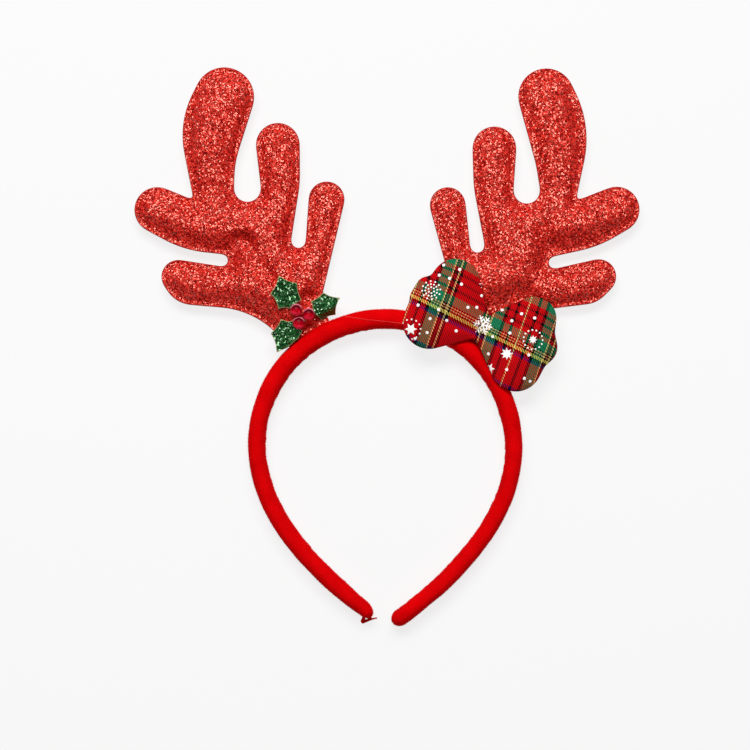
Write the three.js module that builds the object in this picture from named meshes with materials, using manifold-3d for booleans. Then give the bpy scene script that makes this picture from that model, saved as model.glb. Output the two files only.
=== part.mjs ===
// A christmas headband with two stuffed reindeer antlers, a holly sprig and a tartan bow.
// It lies on its back: +X is the wearer's left, +Y runs from the tips of the band up the antlers,
// and +Z is the front. Millimetres throughout.

import * as THREE from "three";
import { ConvexHull } from "three/addons/math/ConvexHull.js";
import { mergeVertices } from "three/addons/utils/BufferGeometryUtils.js";
import Module from "manifold-3d";

const wasm = await Module();
wasm.setup();

const DEG = Math.PI / 180;

// The clearance between a piece and what it is fixed to.
const GAP = 0.3;

// Band: a padded tube bent to a hoop. A round arc goes over the head, and a flatter one on each side
// brings the tips in behind the ears. The hoop lies turned a little about its centre.
const BAND = {
  crownRadius: 64,
  crownHalfSweep: 117.5 * DEG,
  sideRadius: 150,
  rightSweep: 30.5 * DEG,
  leftSweep: 27.5 * DEG,
  width: 9.75,
  depth: 12.6,
  centreHeight: 5.9,
  squareness: 2.4,
  sides: 16,
  step: 5.2,
  rightTipRound: 4.8,
  leftTipRound: 3.0,
  turn: 1.5 * DEG,
};
// Where the rings of a rounded tip stand, as shares of the rounding.
const TIP_RINGS = [0.02, 0.14, 0.36, 0.66];
// The sides of the barrel that trims other pieces to the band.
const BARREL_SIDES = 120;

// Antlers: two plies sewn together, with a flat rim outside the seam and a stuffed middle.
const ANTLER = {
  midHeight: 6.5,
  seamMargin: 2.2,
  secondRow: 5.8,
  rim: 1.8,
  puff: 1.75,
  edgeStep: 3.2,
  spacing: 4.5,
};
// Where each foot stands on the band, from the crown, and how far the antler leans outwards.
const ANTLERS = [
  { name: "antler_left", side: -1, footAngle: 34.2 * DEG, lean: 0 },
  { name: "antler_right", side: 1, footAngle: 38.3 * DEG, lean: -2.1 * DEG },
];

// The outline of an antler as a belt round pulleys, from its foot round the tines and back to the foot.
// x is outwards and y upwards from the middle of the foot. The belt turns left round an "out" pulley
// and right round an "in" one, which is a crotch or a hollow.
const ANTLER_OUTLINE = [
  { place: "outer foot", x: 2.2, y: -17, r: 1, side: "out" },
  { place: "foot hollow", x: 47.1, y: -31.2, r: 45, side: "in" },
  { place: "low tine heel", x: 57.5, y: 29, r: 14.5, side: "out" },
  { place: "low tine tip", x: 64.5, y: 27.8, r: 8.5, side: "out" },
  { place: "low slot", x: 43, y: 36, r: 3, side: "in" },
  { place: "outer tine belly", x: 45.5, y: 105.6, r: 64.8, side: "out" },
  { place: "outer tine tip", x: 75.5, y: 61.2, r: 11.5, side: "out" },
  { place: "sharp crotch", x: 55.8, y: 67.2, r: 0.6, side: "in" },
  { place: "tall tine back", x: 8.9, y: 98.5, r: 53, side: "out" },
  { place: "tall tine tip", x: 42, y: 117.6, r: 15, side: "out" },
  { place: "tall tine hollow", x: -13, y: 76.5, r: 49, side: "in" },
  { place: "upper crotch", x: 30.4, y: 72.2, r: 6.3, side: "in" },
  { place: "middle tine tip", x: 15.2, y: 93.8, r: 11, side: "out" },
  { place: "inner crotch", x: 4.9, y: 46, r: 4, side: "in" },
  { place: "inner tine tip", x: -9.2, y: 66.5, r: 9, side: "out" },
  { place: "inner hollow", x: -17.2, y: 15.5, r: 10, side: "in" },
  { place: "inner foot", x: -15.6, y: -4, r: 1, side: "out" },
];

// Folds in the stuffed middle of an antler: a soft valley along each line.
const ANTLER_FOLDS = [
  { place: "low slot to palm", x0: 38, y0: 40, x1: 26, y1: 52, depth: 3.2, width: 4 },
  { place: "tall tine root", x0: 54, y0: 69, x1: 44, y1: 73, depth: 2.0, width: 4 },
  { place: "low tine root", x0: 44, y0: 20, x1: 30, y1: 14, depth: 1.6, width: 5 },
  { place: "inner tine root", x0: 2, y0: 40, x1: -2, y1: 22, depth: 1.8, width: 4 },
];

// Bow: one padded butterfly, x along its length and y across it.
const BOW = {
  x: 47.9,
  y: 60,
  turn: -27.8 * DEG,
  seamMargin: 0.8,
  rim: 1.6,
  frontPuff: 1.9,
  backPuff: 0.35,
  edgeStep: 2.2,
  spacing: 3.4,
};
const BOW_OUTLINE = [
  { place: "lower waist", x: 0, y: -10.6, r: 2.8, side: "in" },
  { place: "right low corner", x: 24.5, y: -9, r: 13, side: "out" },
  { place: "right low dent", x: 39.3, y: -2.8, r: 1, side: "in" },
  { place: "right bulge", x: 30.2, y: 4, r: 9, side: "out" },
  { place: "right top dent", x: 35.6, y: 14.9, r: 1.2, side: "in" },
  { place: "right top corner", x: 21.3, y: 15.5, r: 11, side: "out" },
  { place: "upper waist", x: 0.3, y: 10.2, r: 2.6, side: "in" },
  { place: "left top corner", x: -21.5, y: 12.6, r: 12.3, side: "out" },
  { place: "left bulge", x: -29.8, y: 1, r: 9, side: "out" },
  { place: "left low dent", x: -38.4, y: -6, r: 1, side: "in" },
  { place: "left low corner", x: -24, y: -10.6, r: 13.3, side: "out" },
];
const BOW_FOLDS = [
  { place: "right upper gather", x0: 3, y0: 3, x1: 22, y1: 9, depth: 1.8, width: 3.2 },
  { place: "right lower gather", x0: 3, y0: -3, x1: 20, y1: -5, depth: 1.5, width: 3.2 },
  { place: "left upper gather", x0: -3, y0: 3, x1: -20, y1: 8, depth: 1.5, width: 3.2 },
  { place: "left lower gather", x0: -3, y0: -3, x1: -22, y1: -6, depth: 1.8, width: 3.2 },
  { place: "right edge dent", x0: 36, y0: 14, x1: 28, y1: 11, depth: 1.2, width: 2.6 },
  { place: "left edge dent", x0: -35, y0: 13, x1: -28, y1: 10, depth: 1.2, width: 2.6 },
];

// Holly: leaves die-cut from glitter felt, each turned about its stalk end beside the berries.
const LEAF = { length: 16.1, width: 12.8, felt: 1.0, cup: 1.2, edgeStep: 1.3, spacing: 2, edgeRow: 1.2 };
const LEAVES = [
  { name: "holly_leaf_upper", x: -46.1, y: 70, turn: 115 * DEG, droop: 0 },
  { name: "holly_leaf_inner", x: -36.8, y: 66.5, turn: 28.6 * DEG, droop: 5 * DEG },
  { name: "holly_leaf_lower", x: -44.8, y: 60.8, turn: 237 * DEG, droop: 7 * DEG },
];
// Points of a leaf's edge, as shares of its length and half width, from the stalk to the tip.
const LEAF_SPIKES = [
  { along: 0.14, across: 0.86 },
  { along: 0.62, across: 1.0 },
];
// How far the edge between two spikes is drawn in towards the heart of the leaf, and where that is.
const LEAF_SCALLOP = 0.24;
const LEAF_HEART = 0.45;
// How a leaf curls down towards its sides.
const LEAF_CURL = { share: 0.6, power: 1.5 };

// Berries: shiny domes in a triangle where the leaves meet.
const BERRY = { radius: 2.9, flatness: 0.82, sides: 14, rings: 10 };
const BERRIES = [
  { name: "berry_upper", x: -44.4, y: 67.8 },
  { name: "berry_inner", x: -38.4, y: 65.9 },
  { name: "berry_lower", x: -43.1, y: 61.6 },
];

const velvet = new THREE.MeshStandardMaterial({ color: 0xb5070c, roughness: 0.9, metalness: 0 });
const redGlitter = new THREE.MeshStandardMaterial({ color: 0xc93a32, roughness: 0.4, metalness: 0.4 });
const tartan = new THREE.MeshStandardMaterial({ color: 0xa3161c, roughness: 0.8, metalness: 0 });
const greenGlitter = new THREE.MeshStandardMaterial({ color: 0x1d5a2e, roughness: 0.4, metalness: 0.4 });
const berryRed = new THREE.MeshStandardMaterial({ color: 0xc40d1c, roughness: 0.15, metalness: 0 });

// A shape whose edge is a belt round pulleys, joined by straight runs.
function beltShape(pulleys) {
  const wheels = pulleys.map(({ x, y, r, side }) => ({ x, y, r, way: side === "out" ? 1 : -1 }));
  const runs = wheels.map((wheel, i) => {
    const next = wheels[(i + 1) % wheels.length];
    const dx = next.x - wheel.x;
    const dy = next.y - wheel.y;
    const slant = (wheel.way * wheel.r - next.way * next.r) / Math.hypot(dx, dy);
    return Math.atan2(dy, dx) + Math.asin(slant);
  });
  const shape = new THREE.Shape();
  wheels.forEach((wheel, i) => {
    const quarter = (wheel.way * Math.PI) / 2;
    const from = runs.at(i - 1) - quarter;
    const to = runs[i] - quarter;
    shape.absarc(wheel.x, wheel.y, wheel.r, from, to, wheel.way < 0);
  });
  shape.closePath();
  return shape;
}

// Evenly spaced points round a closed shape.
function edgePoints(shape, step) {
  const count = Math.round(shape.getLength() / step);
  return shape.getSpacedPoints(count).slice(0, count);
}

function insideEdge(point, edge) {
  let inside = false;
  edge.forEach((a, i) => {
    const b = edge.at(i - 1);
    const crosses = a.y > point.y !== b.y > point.y;
    if (crosses && point.x < a.x + ((b.x - a.x) * (point.y - a.y)) / (b.y - a.y)) {
      inside = !inside;
    }
  });
  return inside;
}

function distanceToRun(point, from, to) {
  const along = to.clone().sub(from);
  const offset = point.clone().sub(from);
  const share = THREE.MathUtils.clamp(offset.dot(along) / along.lengthSq(), 0, 1);
  return offset.addScaledVector(along, -share).length();
}

function distanceToEdge(point, edge) {
  return Math.min(...edge.map((corner, i) => distanceToRun(point, edge.at(i - 1), corner)));
}

// A depth that grows smoothly away from the edge, like the distance to it but with no ridges.
function softDepth(point, edge) {
  const step = edge[0].distanceTo(edge[1]);
  const pull = edge.reduce((sum, corner) => sum + step / corner.distanceTo(point) ** 3, 0);
  return Math.sqrt(2 / pull);
}

// How deep the folds press the stuffing in at a point.
function foldDepth(point, folds) {
  return folds.reduce((sum, { x0, y0, x1, y1, depth, width }) => {
    const away = distanceToRun(point, new THREE.Vector2(x0, y0), new THREE.Vector2(x1, y1));
    return sum + depth * Math.exp(-((away / width) ** 2));
  }, 0);
}

// The points inside an edge: rows that follow it at the given insets, then an even field.
function fieldPoints(edge, spacing, insets) {
  const crowding = 0.45 * spacing;
  const slack = 0.93;
  const margin = 0.7 * spacing;
  const points = [];
  insets.forEach((inset) => {
    edge.forEach((corner, i) => {
      const tangent = edge[(i + 1) % edge.length].clone().sub(edge.at(i - 1)).normalize();
      const point = new THREE.Vector2(corner.x - tangent.y * inset, corner.y + tangent.x * inset);
      const crowded = points.some((other) => other.distanceTo(point) < crowding);
      if (!crowded && insideEdge(point, edge) && distanceToEdge(point, edge) > inset * slack) {
        points.push(point);
      }
    });
  });
  const box = new THREE.Box2().setFromPoints(edge);
  const rowHeight = (spacing * Math.sqrt(3)) / 2;
  const rows = Math.floor((box.max.y - box.min.y) / rowHeight);
  const columns = Math.floor((box.max.x - box.min.x) / spacing);
  const clear = insets.at(-1) + margin;
  for (let row = 0; row <= rows; row += 1) {
    for (let column = 0; column <= columns; column += 1) {
      const x = box.min.x + (column + (row % 2) / 2) * spacing;
      const point = new THREE.Vector2(x, box.min.y + row * rowHeight);
      if (insideEdge(point, edge) && distanceToEdge(point, edge) > clear) {
        points.push(point);
      }
    }
  }
  return points;
}

// The even triangles between flat points: the underside of the hull of the points lifted onto a bowl.
// A face that stands upright there joins three points in a line, so it is no triangle.
function triangulate(points, edge) {
  const upright = 0.05;
  const bowl = 100;
  const lifted = points.map((point) => new THREE.Vector3(point.x, point.y, point.lengthSq() / bowl));
  const order = new Map(lifted.map((point, i) => [point, i]));
  const hull = new ConvexHull().setFromPoints(lifted);
  const triangles = [];
  hull.faces.forEach((face) => {
    const corners = [face.edge.tail(), face.edge.head(), face.edge.next.head()];
    const [a, b, c] = corners.map((corner) => order.get(corner.point));
    const centre = points[a].clone().add(points[b]).add(points[c]).divideScalar(3);
    if (face.normal.z < -upright && insideEdge(centre, edge)) {
      triangles.push([a, c, b]);
    }
  });
  return triangles;
}

// A closed soft body between a front and a back height over a flat outline.
function softBody(shape, { edgeStep, spacing, insets, front, back }) {
  const edge = edgePoints(shape, edgeStep);
  const points = edge.concat(fieldPoints(edge, spacing, insets));
  const frontPoints = points.map((point) => [point.x, point.y, front(point, edge)]);
  const backPoints = points.map((point) => [point.x, point.y, back(point, edge)]);
  const behind = points.length;
  const faces = [];
  triangulate(points, edge).forEach(([a, b, c]) => {
    faces.push(a, b, c, behind + a, behind + c, behind + b);
  });
  edge.forEach((corner, i) => {
    const next = (i + 1) % edge.length;
    faces.push(behind + i, behind + next, next, behind + i, next, i);
  });
  const geometry = new THREE.BufferGeometry();
  const positions = frontPoints.concat(backPoints).flat();
  geometry.setAttribute("position", new THREE.Float32BufferAttribute(positions, 3));
  geometry.setIndex(faces);
  geometry.computeVertexNormals();
  return geometry;
}

function toSolid(geometry) {
  const bare = geometry.clone();
  bare.deleteAttribute("normal");
  bare.deleteAttribute("uv");
  const merged = mergeVertices(bare);
  const vertProperties = Float32Array.from(merged.attributes.position.array);
  const triVerts = Uint32Array.from(merged.index.array);
  return new wasm.Manifold(new wasm.Mesh({ numProp: 3, vertProperties, triVerts }));
}

function cutBy(geometry, tool) {
  const mesh = toSolid(geometry).subtract(toSolid(tool)).getMesh();
  const result = new THREE.BufferGeometry();
  result.setAttribute("position", new THREE.BufferAttribute(mesh.vertProperties, 3));
  result.setIndex(new THREE.BufferAttribute(mesh.triVerts, 1));
  result.computeVertexNormals();
  return result;
}

function named(name, geometry, material) {
  const mesh = new THREE.Mesh(geometry, material);
  mesh.name = name;
  return mesh;
}

// The line through the middle of the band, by distance from the crown: positive runs to the right tip.
function bandLine(distance) {
  const { crownRadius, crownHalfSweep, sideRadius } = BAND;
  const side = Math.sign(distance);
  const crownLength = crownRadius * crownHalfSweep;
  const reach = Math.abs(distance);
  let angle = reach / crownRadius;
  let radius = crownRadius;
  const centre = new THREE.Vector2();
  if (reach > crownLength) {
    angle = crownHalfSweep + (reach - crownLength) / sideRadius;
    radius = sideRadius;
    centre.set(Math.sin(crownHalfSweep), Math.cos(crownHalfSweep));
    centre.multiplyScalar(crownRadius - sideRadius);
  }
  const outward = new THREE.Vector2(Math.sin(angle), Math.cos(angle));
  const point = centre.addScaledVector(outward, radius);
  return {
    point: new THREE.Vector2(point.x * side, point.y),
    outward: new THREE.Vector2(outward.x * side, outward.y),
  };
}

// The band's padded section: offsets outwards and heights, flattened where it lies on the table.
function bandSection(scale, growth = 0) {
  const round = (value) => Math.sign(value) * Math.abs(value) ** (2 / BAND.squareness);
  return Array.from({ length: BAND.sides }, (_, i) => {
    const angle = (i / BAND.sides) * 2 * Math.PI;
    const offset = round(Math.cos(angle)) * (BAND.width / 2 + growth) * scale;
    const height = BAND.centreHeight + round(Math.sin(angle)) * (BAND.depth / 2 + growth) * scale;
    return { offset, height: Math.max(height, -growth) };
  });
}

function makeBand() {
  const crownLength = BAND.crownRadius * BAND.crownHalfSweep;
  const start = -(crownLength + BAND.sideRadius * BAND.leftSweep);
  const end = crownLength + BAND.sideRadius * BAND.rightSweep;
  const stations = TIP_RINGS.map((share) => ({ at: start + share * BAND.leftTipRound, share }));
  const bodyStart = start + BAND.leftTipRound;
  const bodyEnd = end - BAND.rightTipRound;
  const steps = Math.round((bodyEnd - bodyStart) / BAND.step);
  for (let i = 0; i <= steps; i += 1) {
    stations.push({ at: bodyStart + ((bodyEnd - bodyStart) * i) / steps, share: 1 });
  }
  TIP_RINGS.toReversed().forEach((share) => {
    stations.push({ at: end - share * BAND.rightTipRound, share });
  });
  const positions = [];
  stations.forEach(({ at, share }) => {
    const { point, outward } = bandLine(at);
    bandSection(Math.sqrt(1 - (1 - share) ** 2)).forEach(({ offset, height }) => {
      positions.push(point.x + outward.x * offset, point.y + outward.y * offset, height);
    });
  });
  const faces = [];
  const sides = BAND.sides;
  for (let ring = 0; ring < stations.length - 1; ring += 1) {
    for (let i = 0; i < sides; i += 1) {
      const a = ring * sides + i;
      const b = ring * sides + ((i + 1) % sides);
      faces.push(a, b, a + sides, b, b + sides, a + sides);
    }
  }
  const last = (stations.length - 1) * sides;
  for (let i = 1; i < sides - 1; i += 1) {
    faces.push(0, i + 1, i, last, last + i, last + i + 1);
  }
  const geometry = new THREE.BufferGeometry();
  geometry.setAttribute("position", new THREE.Float32BufferAttribute(positions, 3));
  geometry.setIndex(faces);
  geometry.computeVertexNormals();
  const band = named("band", geometry, velvet);
  band.rotation.z = BAND.turn;
  return band;
}

// The barrel inside the outer wall of the band's crown, with the clearance that the antlers keep to it.
function makeCrownBarrel() {
  const reach = BAND.depth;
  const wall = bandSection(1, GAP)
    .filter(({ offset }) => offset > 0)
    .sort((a, b) => a.height - b.height)
    .map(({ offset, height }) => new THREE.Vector2(BAND.crownRadius + offset, height));
  const bottom = -reach;
  const top = BAND.centreHeight + reach;
  const profile = [
    new THREE.Vector2(0, bottom),
    new THREE.Vector2(BAND.crownRadius, bottom),
    ...wall,
    new THREE.Vector2(BAND.crownRadius, top),
    new THREE.Vector2(0, top),
  ];
  const barrel = new THREE.LatheGeometry(profile, BARREL_SIDES);
  return barrel.rotateX(Math.PI / 2);
}

// Cuts away whatever of a placed piece lies inside the outer wall of the crown.
function trimToBand(piece) {
  piece.updateWorldMatrix(true, false);
  const barrel = makeCrownBarrel().applyMatrix4(piece.matrixWorld.clone().invert());
  if (piece.matrixWorld.determinant() < 0) {
    barrel.setIndex(Array.from(barrel.index.array).reverse());
  }
  piece.geometry = cutBy(piece.geometry, barrel);
}

function makeAntler({ name, side, footAngle, lean }) {
  const { midHeight, seamMargin, secondRow, rim, puff, edgeStep, spacing } = ANTLER;
  const stuffing = (point, edge) => {
    const rise = puff * Math.sqrt(Math.max(0, softDepth(point, edge) - seamMargin));
    return Math.max(0, rise - foldDepth(point, ANTLER_FOLDS));
  };
  const body = softBody(beltShape(ANTLER_OUTLINE), {
    edgeStep,
    spacing,
    insets: [seamMargin, secondRow],
    front: (point, edge) => midHeight + rim / 2 + stuffing(point, edge),
    back: (point, edge) => Math.max(0, midHeight - rim / 2 - stuffing(point, edge)),
  });
  const footRadius = BAND.crownRadius + BAND.width / 2;
  const placement = new THREE.Group();
  placement.scale.x = side;
  placement.position.set(side * footRadius * Math.sin(footAngle), footRadius * Math.cos(footAngle), 0);
  placement.rotation.z = side * -lean;
  const antler = named(name, body, redGlitter);
  placement.add(antler);
  trimToBand(antler);
  return placement;
}

function makeBow() {
  const { seamMargin, rim, frontPuff, backPuff, edgeStep, spacing } = BOW;
  const swell = (puff, folds) => (point, edge) => {
    const rise = Math.sqrt(Math.max(0, softDepth(point, edge) - seamMargin));
    return Math.max(0, puff * rise - foldDepth(point, folds));
  };
  const frontSwell = swell(frontPuff, BOW_FOLDS);
  const backSwell = swell(backPuff, []);
  const body = softBody(beltShape(BOW_OUTLINE), {
    edgeStep,
    spacing,
    insets: [2 * seamMargin, seamMargin + spacing],
    front: (point, edge) => rim / 2 + frontSwell(point, edge),
    back: (point, edge) => -rim / 2 - backSwell(point, edge),
  });
  const bow = named("bow", body, tartan);
  bow.position.set(BOW.x, BOW.y, 0);
  bow.rotation.z = BOW.turn;
  return bow;
}

// The outline of a holly leaf: spikes down both sides and at the tip, with hollow scallops between.
function leafShape() {
  const { length, width } = LEAF;
  const right = LEAF_SPIKES.map(({ along, across }) => {
    return new THREE.Vector2(along * length, (-across * width) / 2);
  });
  const left = right.toReversed().map((spike) => new THREE.Vector2(spike.x, -spike.y));
  const spikes = [new THREE.Vector2(), ...right, new THREE.Vector2(length, 0), ...left];
  const heart = new THREE.Vector2(length * LEAF_HEART, 0);
  const shape = new THREE.Shape();
  shape.moveTo(spikes.at(-1).x, spikes.at(-1).y);
  spikes.forEach((spike, i) => {
    const hollow = spikes.at(i - 1).clone().add(spike).multiplyScalar(0.5).lerp(heart, LEAF_SCALLOP);
    shape.quadraticCurveTo(hollow.x, hollow.y, spike.x, spike.y);
  });
  return shape;
}

function makeLeaf({ name, x, y, turn, droop }) {
  const { length, width, felt, cup, edgeStep, spacing, edgeRow } = LEAF;
  const crown = (point) => {
    const across = Math.abs(point.y) / (width / 2);
    const along = point.x / length - 0.5;
    return -cup * (LEAF_CURL.share * across ** LEAF_CURL.power + along ** 2);
  };
  const body = softBody(leafShape(), {
    edgeStep,
    spacing,
    insets: [edgeRow],
    front: (point) => crown(point) + felt,
    back: (point) => crown(point),
  });
  const leaf = named(name, body, greenGlitter);
  leaf.position.set(x, y, 0);
  leaf.rotation.set(0, droop, turn, "ZYX");
  return leaf;
}

function makeBerry({ name, x, y }) {
  const dome = new THREE.SphereGeometry(BERRY.radius, BERRY.sides, BERRY.rings);
  const berry = named(name, dome.rotateX(Math.PI / 2).scale(1, 1, BERRY.flatness), berryRed);
  berry.position.set(x, y, 0);
  return berry;
}

// Lowers a piece from above until it rests, a clearance apart, on the pieces below it.
function seat(piece, supports) {
  const caster = new THREE.Raycaster();
  const down = new THREE.Vector3(0, 0, -1);
  const above = 100;
  piece.updateWorldMatrix(true, false);
  supports.forEach((support) => support.updateWorldMatrix(true, false));
  const corner = new THREE.Vector3();
  const corners = piece.geometry.attributes.position;
  let lift = -Infinity;
  for (let i = 0; i < corners.count; i += 1) {
    corner.fromBufferAttribute(corners, i).applyMatrix4(piece.matrixWorld);
    caster.set(new THREE.Vector3(corner.x, corner.y, above), down);
    const [hit] = caster.intersectObjects(supports);
    if (hit) {
      lift = Math.max(lift, hit.point.z - corner.z);
    }
  }
  piece.position.z += lift + GAP;
}

const headband = new THREE.Group();
const band = makeBand();
const antlers = ANTLERS.map(makeAntler);
const bow = makeBow();
const leaves = LEAVES.map(makeLeaf);
const berries = BERRIES.map(makeBerry);

seat(bow, [band, ...antlers[1].children]);
leaves.forEach((leaf) => {
  seat(leaf, antlers[0].children);
  trimToBand(leaf);
});
berries.forEach((berry) => seat(berry, [...antlers[0].children, ...leaves]));

// The origin is under the middle of the headband's box, on the table.
headband.add(band, ...antlers, bow, ...leaves, ...berries);
const box = new THREE.Box3().setFromObject(headband, true);
const middle = box.getCenter(new THREE.Vector3());
headband.position.set(-middle.x, -middle.y, -box.min.z);

export default headband;
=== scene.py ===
"""A christmas headband: a padded velvet hoop, two stuffed antlers, a holly sprig and a tartan bow."""

import math

import bpy
import numpy as np
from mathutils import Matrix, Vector, noise
from mathutils.bvhtree import BVHTree
from mathutils.geometry import delaunay_2d_cdt


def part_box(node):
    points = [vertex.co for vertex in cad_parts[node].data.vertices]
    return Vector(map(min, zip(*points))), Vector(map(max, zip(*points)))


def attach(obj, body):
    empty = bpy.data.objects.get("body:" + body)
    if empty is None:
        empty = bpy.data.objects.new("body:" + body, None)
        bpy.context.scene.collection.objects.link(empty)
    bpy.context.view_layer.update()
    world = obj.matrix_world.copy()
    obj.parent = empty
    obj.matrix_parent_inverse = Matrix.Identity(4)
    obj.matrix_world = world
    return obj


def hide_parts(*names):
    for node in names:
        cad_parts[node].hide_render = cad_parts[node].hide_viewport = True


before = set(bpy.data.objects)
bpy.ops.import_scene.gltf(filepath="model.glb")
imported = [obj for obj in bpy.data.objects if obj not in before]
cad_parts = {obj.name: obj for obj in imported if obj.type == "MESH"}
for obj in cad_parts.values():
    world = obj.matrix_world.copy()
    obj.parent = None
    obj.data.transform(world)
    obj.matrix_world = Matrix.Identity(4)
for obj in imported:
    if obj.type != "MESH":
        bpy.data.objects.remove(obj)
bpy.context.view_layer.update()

# Band: a stiff plastic hoop padded with foam and wrapped in red velvet, open between its two tips.
# A round arc goes over the head and a flatter one on each side brings the tips in behind the ears.
# The velvet is glued round the foam, and its lap shows as a low step across the crown.
MM = 0.001
CROWN_RADIUS = 64.0
CROWN_HALF_SWEEP = math.radians(117.5)
SIDE_RADIUS = 150.0
LEFT_SWEEP = math.radians(28.1)
RIGHT_SWEEP = math.radians(31.35)
BAND_WIDTH = 9.75
BAND_DEPTH = 12.6
BAND_MIDDLE = 5.9
BAND_SQUARENESS = 2.4
BAND_TURN = math.radians(1.5)
BAND_SIDES = 72
BAND_STEP = 1.5
BAND_LOWEST = 0.02
LEFT_TIP_ROUND = 3.6
RIGHT_TIP_ROUND = 4.8
TIP_RINGS = (0.01, 0.05, 0.14, 0.27, 0.42, 0.6, 0.8)
CROWN_LENGTH = CROWN_RADIUS * CROWN_HALF_SWEEP
BAND_START = -CROWN_LENGTH - SIDE_RADIUS * LEFT_SWEEP
BAND_END = CROWN_LENGTH + SIDE_RADIUS * RIGHT_SWEEP
# By distance from the crown: the padding's own width, and how far it lies outside the plain arcs.
BAND_SHAPE = [
    (-206.0, 5.7, 0.8),
    (-198.0, 7.5, 0.0),
    (-182.0, 8.8, -0.4),
    (-141.0, 8.9, 0.4),
    (-119.0, 8.9, 0.1),
    (-88.0, 8.7, 0.55),
    (-60.0, 9.8, 0.4),
    (-22.0, 9.8, -0.3),
    (10.0, 9.7, -0.4),
    (80.0, 9.1, -0.25),
    (110.0, 8.4, 0.2),
    (142.0, 8.5, 0.95),
    (172.0, 8.5, 0.1),
    (195.0, 8.2, -0.6),
    (214.0, 8.2, -0.4),
]
# The lap's edge: by distance from the crown, how far it lies outside the middle line.
LAP_LINE = [(-18.0, 4.3), (-13.0, 2.0), (-7.0, -0.1), (-1.0, -1.1), (6.0, -1.7), (20.0, -2.2)]
# The lap's step, where along the crown it rises and dies away, and how far up the side it is whole.
LAP = {"height": 0.3, "softness": 0.35, "rises": (-24.0, -13.0), "dies": (20.0, 34.0), "side": 0.6}
LUMPS = {"height": 0.2, "length": 10.0}
PUCKERS = {"height": 0.38, "length": 2.6, "noise_row": 7.0}

band_low, band_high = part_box("band")
hoop_centre = np.array(
    [
        (band_low.x + band_high.x) / 2 / MM,
        band_high.y / MM - CROWN_RADIUS - BAND_WIDTH / 2,
    ]
)


def turn_flat(points, angle):
    """Flat points turned to the left about the origin."""
    c, s = math.cos(angle), math.sin(angle)
    return np.asarray(points) @ np.array([[c, s], [-s, c]])


def smooth_step(value, low, high):
    """From 0 to 1 with soft ends, while a value goes from low to high."""
    share = min(max((value - low) / (high - low), 0.0), 1.0)
    return share * share * (3 - 2 * share)


def band_line(distance):
    """A point on the band's middle line and the way outwards there, by distance from the crown."""
    reach = abs(distance)
    angle = min(reach / CROWN_RADIUS, CROWN_HALF_SWEEP)
    outward = np.array([math.sin(angle), math.cos(angle)])
    point = outward * CROWN_RADIUS
    if reach > CROWN_LENGTH:
        bend_centre = outward * (CROWN_RADIUS - SIDE_RADIUS)
        angle += (reach - CROWN_LENGTH) / SIDE_RADIUS
        outward = np.array([math.sin(angle), math.cos(angle)])
        point = bend_centre + outward * SIDE_RADIUS
    side = np.array([math.copysign(1.0, distance), 1.0])
    return turn_flat(point * side, BAND_TURN) + hoop_centre, turn_flat(outward * side, BAND_TURN)


def band_shape(distance):
    """The band's width and its shift outwards at a distance from the crown."""
    rows = zip(BAND_SHAPE, BAND_SHAPE[1:])
    (start, *before), (end, *after) = next(pair for pair in rows if distance <= pair[1][0])
    share = smooth_step(distance, start, end)
    return (a + (b - a) * share for a, b in zip(before, after))


def lap_edge(distance):
    """How far outside the middle line the lap's edge lies."""
    return float(np.interp(distance, *zip(*LAP_LINE)))


def band_relief(distance, across, up):
    """How far the velvet stands out from the plain padded section: lumps, puckers and the lap."""
    lumps = LUMPS["height"] * noise.noise(Vector((distance / LUMPS["length"], across, up)))
    tucks = noise.noise(Vector((distance / PUCKERS["length"], PUCKERS["noise_row"], up)))
    puckers = PUCKERS["height"] * max(0.0, -across) ** 3 * tucks
    lap = 0.0
    if up > 0:
        fade = smooth_step(distance, *LAP["rises"])
        fade *= 1 - smooth_step(distance, *LAP["dies"])
        over = smooth_step(across * BAND_WIDTH / 2 - lap_edge(distance), 0.0, LAP["softness"])
        lap = LAP["height"] * fade * over * smooth_step(up, 0.0, LAP["side"])
    return lumps + puckers + lap


def add_object(name, data):
    """A new object in the scene, at the origin."""
    added = bpy.data.objects.new(name, data)
    bpy.context.scene.collection.objects.link(added)
    return added


def make_piece(name, points, faces, materials):
    """A smooth mesh piece from points in millimetres."""
    mesh = bpy.data.meshes.new(name)
    mesh.from_pydata((np.asarray(points) * MM).tolist(), [], faces)
    mesh.shade_smooth()
    for material in materials:
        mesh.materials.append(material)
    return add_object(name, mesh)


def srgb(red, green, blue):
    """A linear colour from the 0 to 255 values that a picture shows."""
    shares = [value / 255 for value in (red, green, blue)]
    linear = [s / 12.92 if s <= 0.04045 else ((s + 0.055) / 1.055) ** 2.4 for s in shares]
    return (*linear, 1.0)


def start_material(name, **constants):
    """A new material with plain values set on its shader, its node tree and that shader."""
    material = bpy.data.materials.new(name)
    material.use_nodes = True
    shader = material.node_tree.nodes["Principled BSDF"]
    for socket, value in constants.items():
        shader.inputs[socket.replace("_", " ")].default_value = value
    return material, material.node_tree, shader


def feed(tree, socket, value):
    """Links a socket to another one or to a node's first output in use, or sets its plain value."""
    if isinstance(value, bpy.types.Node):
        value = next(output for output in value.outputs if output.enabled)
    if isinstance(value, bpy.types.NodeSocket):
        tree.links.new(value, socket)
    else:
        socket.default_value = value


def tree_node(tree, kind, settings=None, **inputs):
    """A node of a tree with its settings made, and its inputs linked or set by name."""
    node = tree.nodes.new(kind)
    for setting, value in (settings or {}).items():
        setattr(node, setting, value)
    for label, value in inputs.items():
        name = label.replace("_", " ")
        feed(tree, next(s for s in node.inputs if s.enabled and s.name == name), value)
    return node


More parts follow.
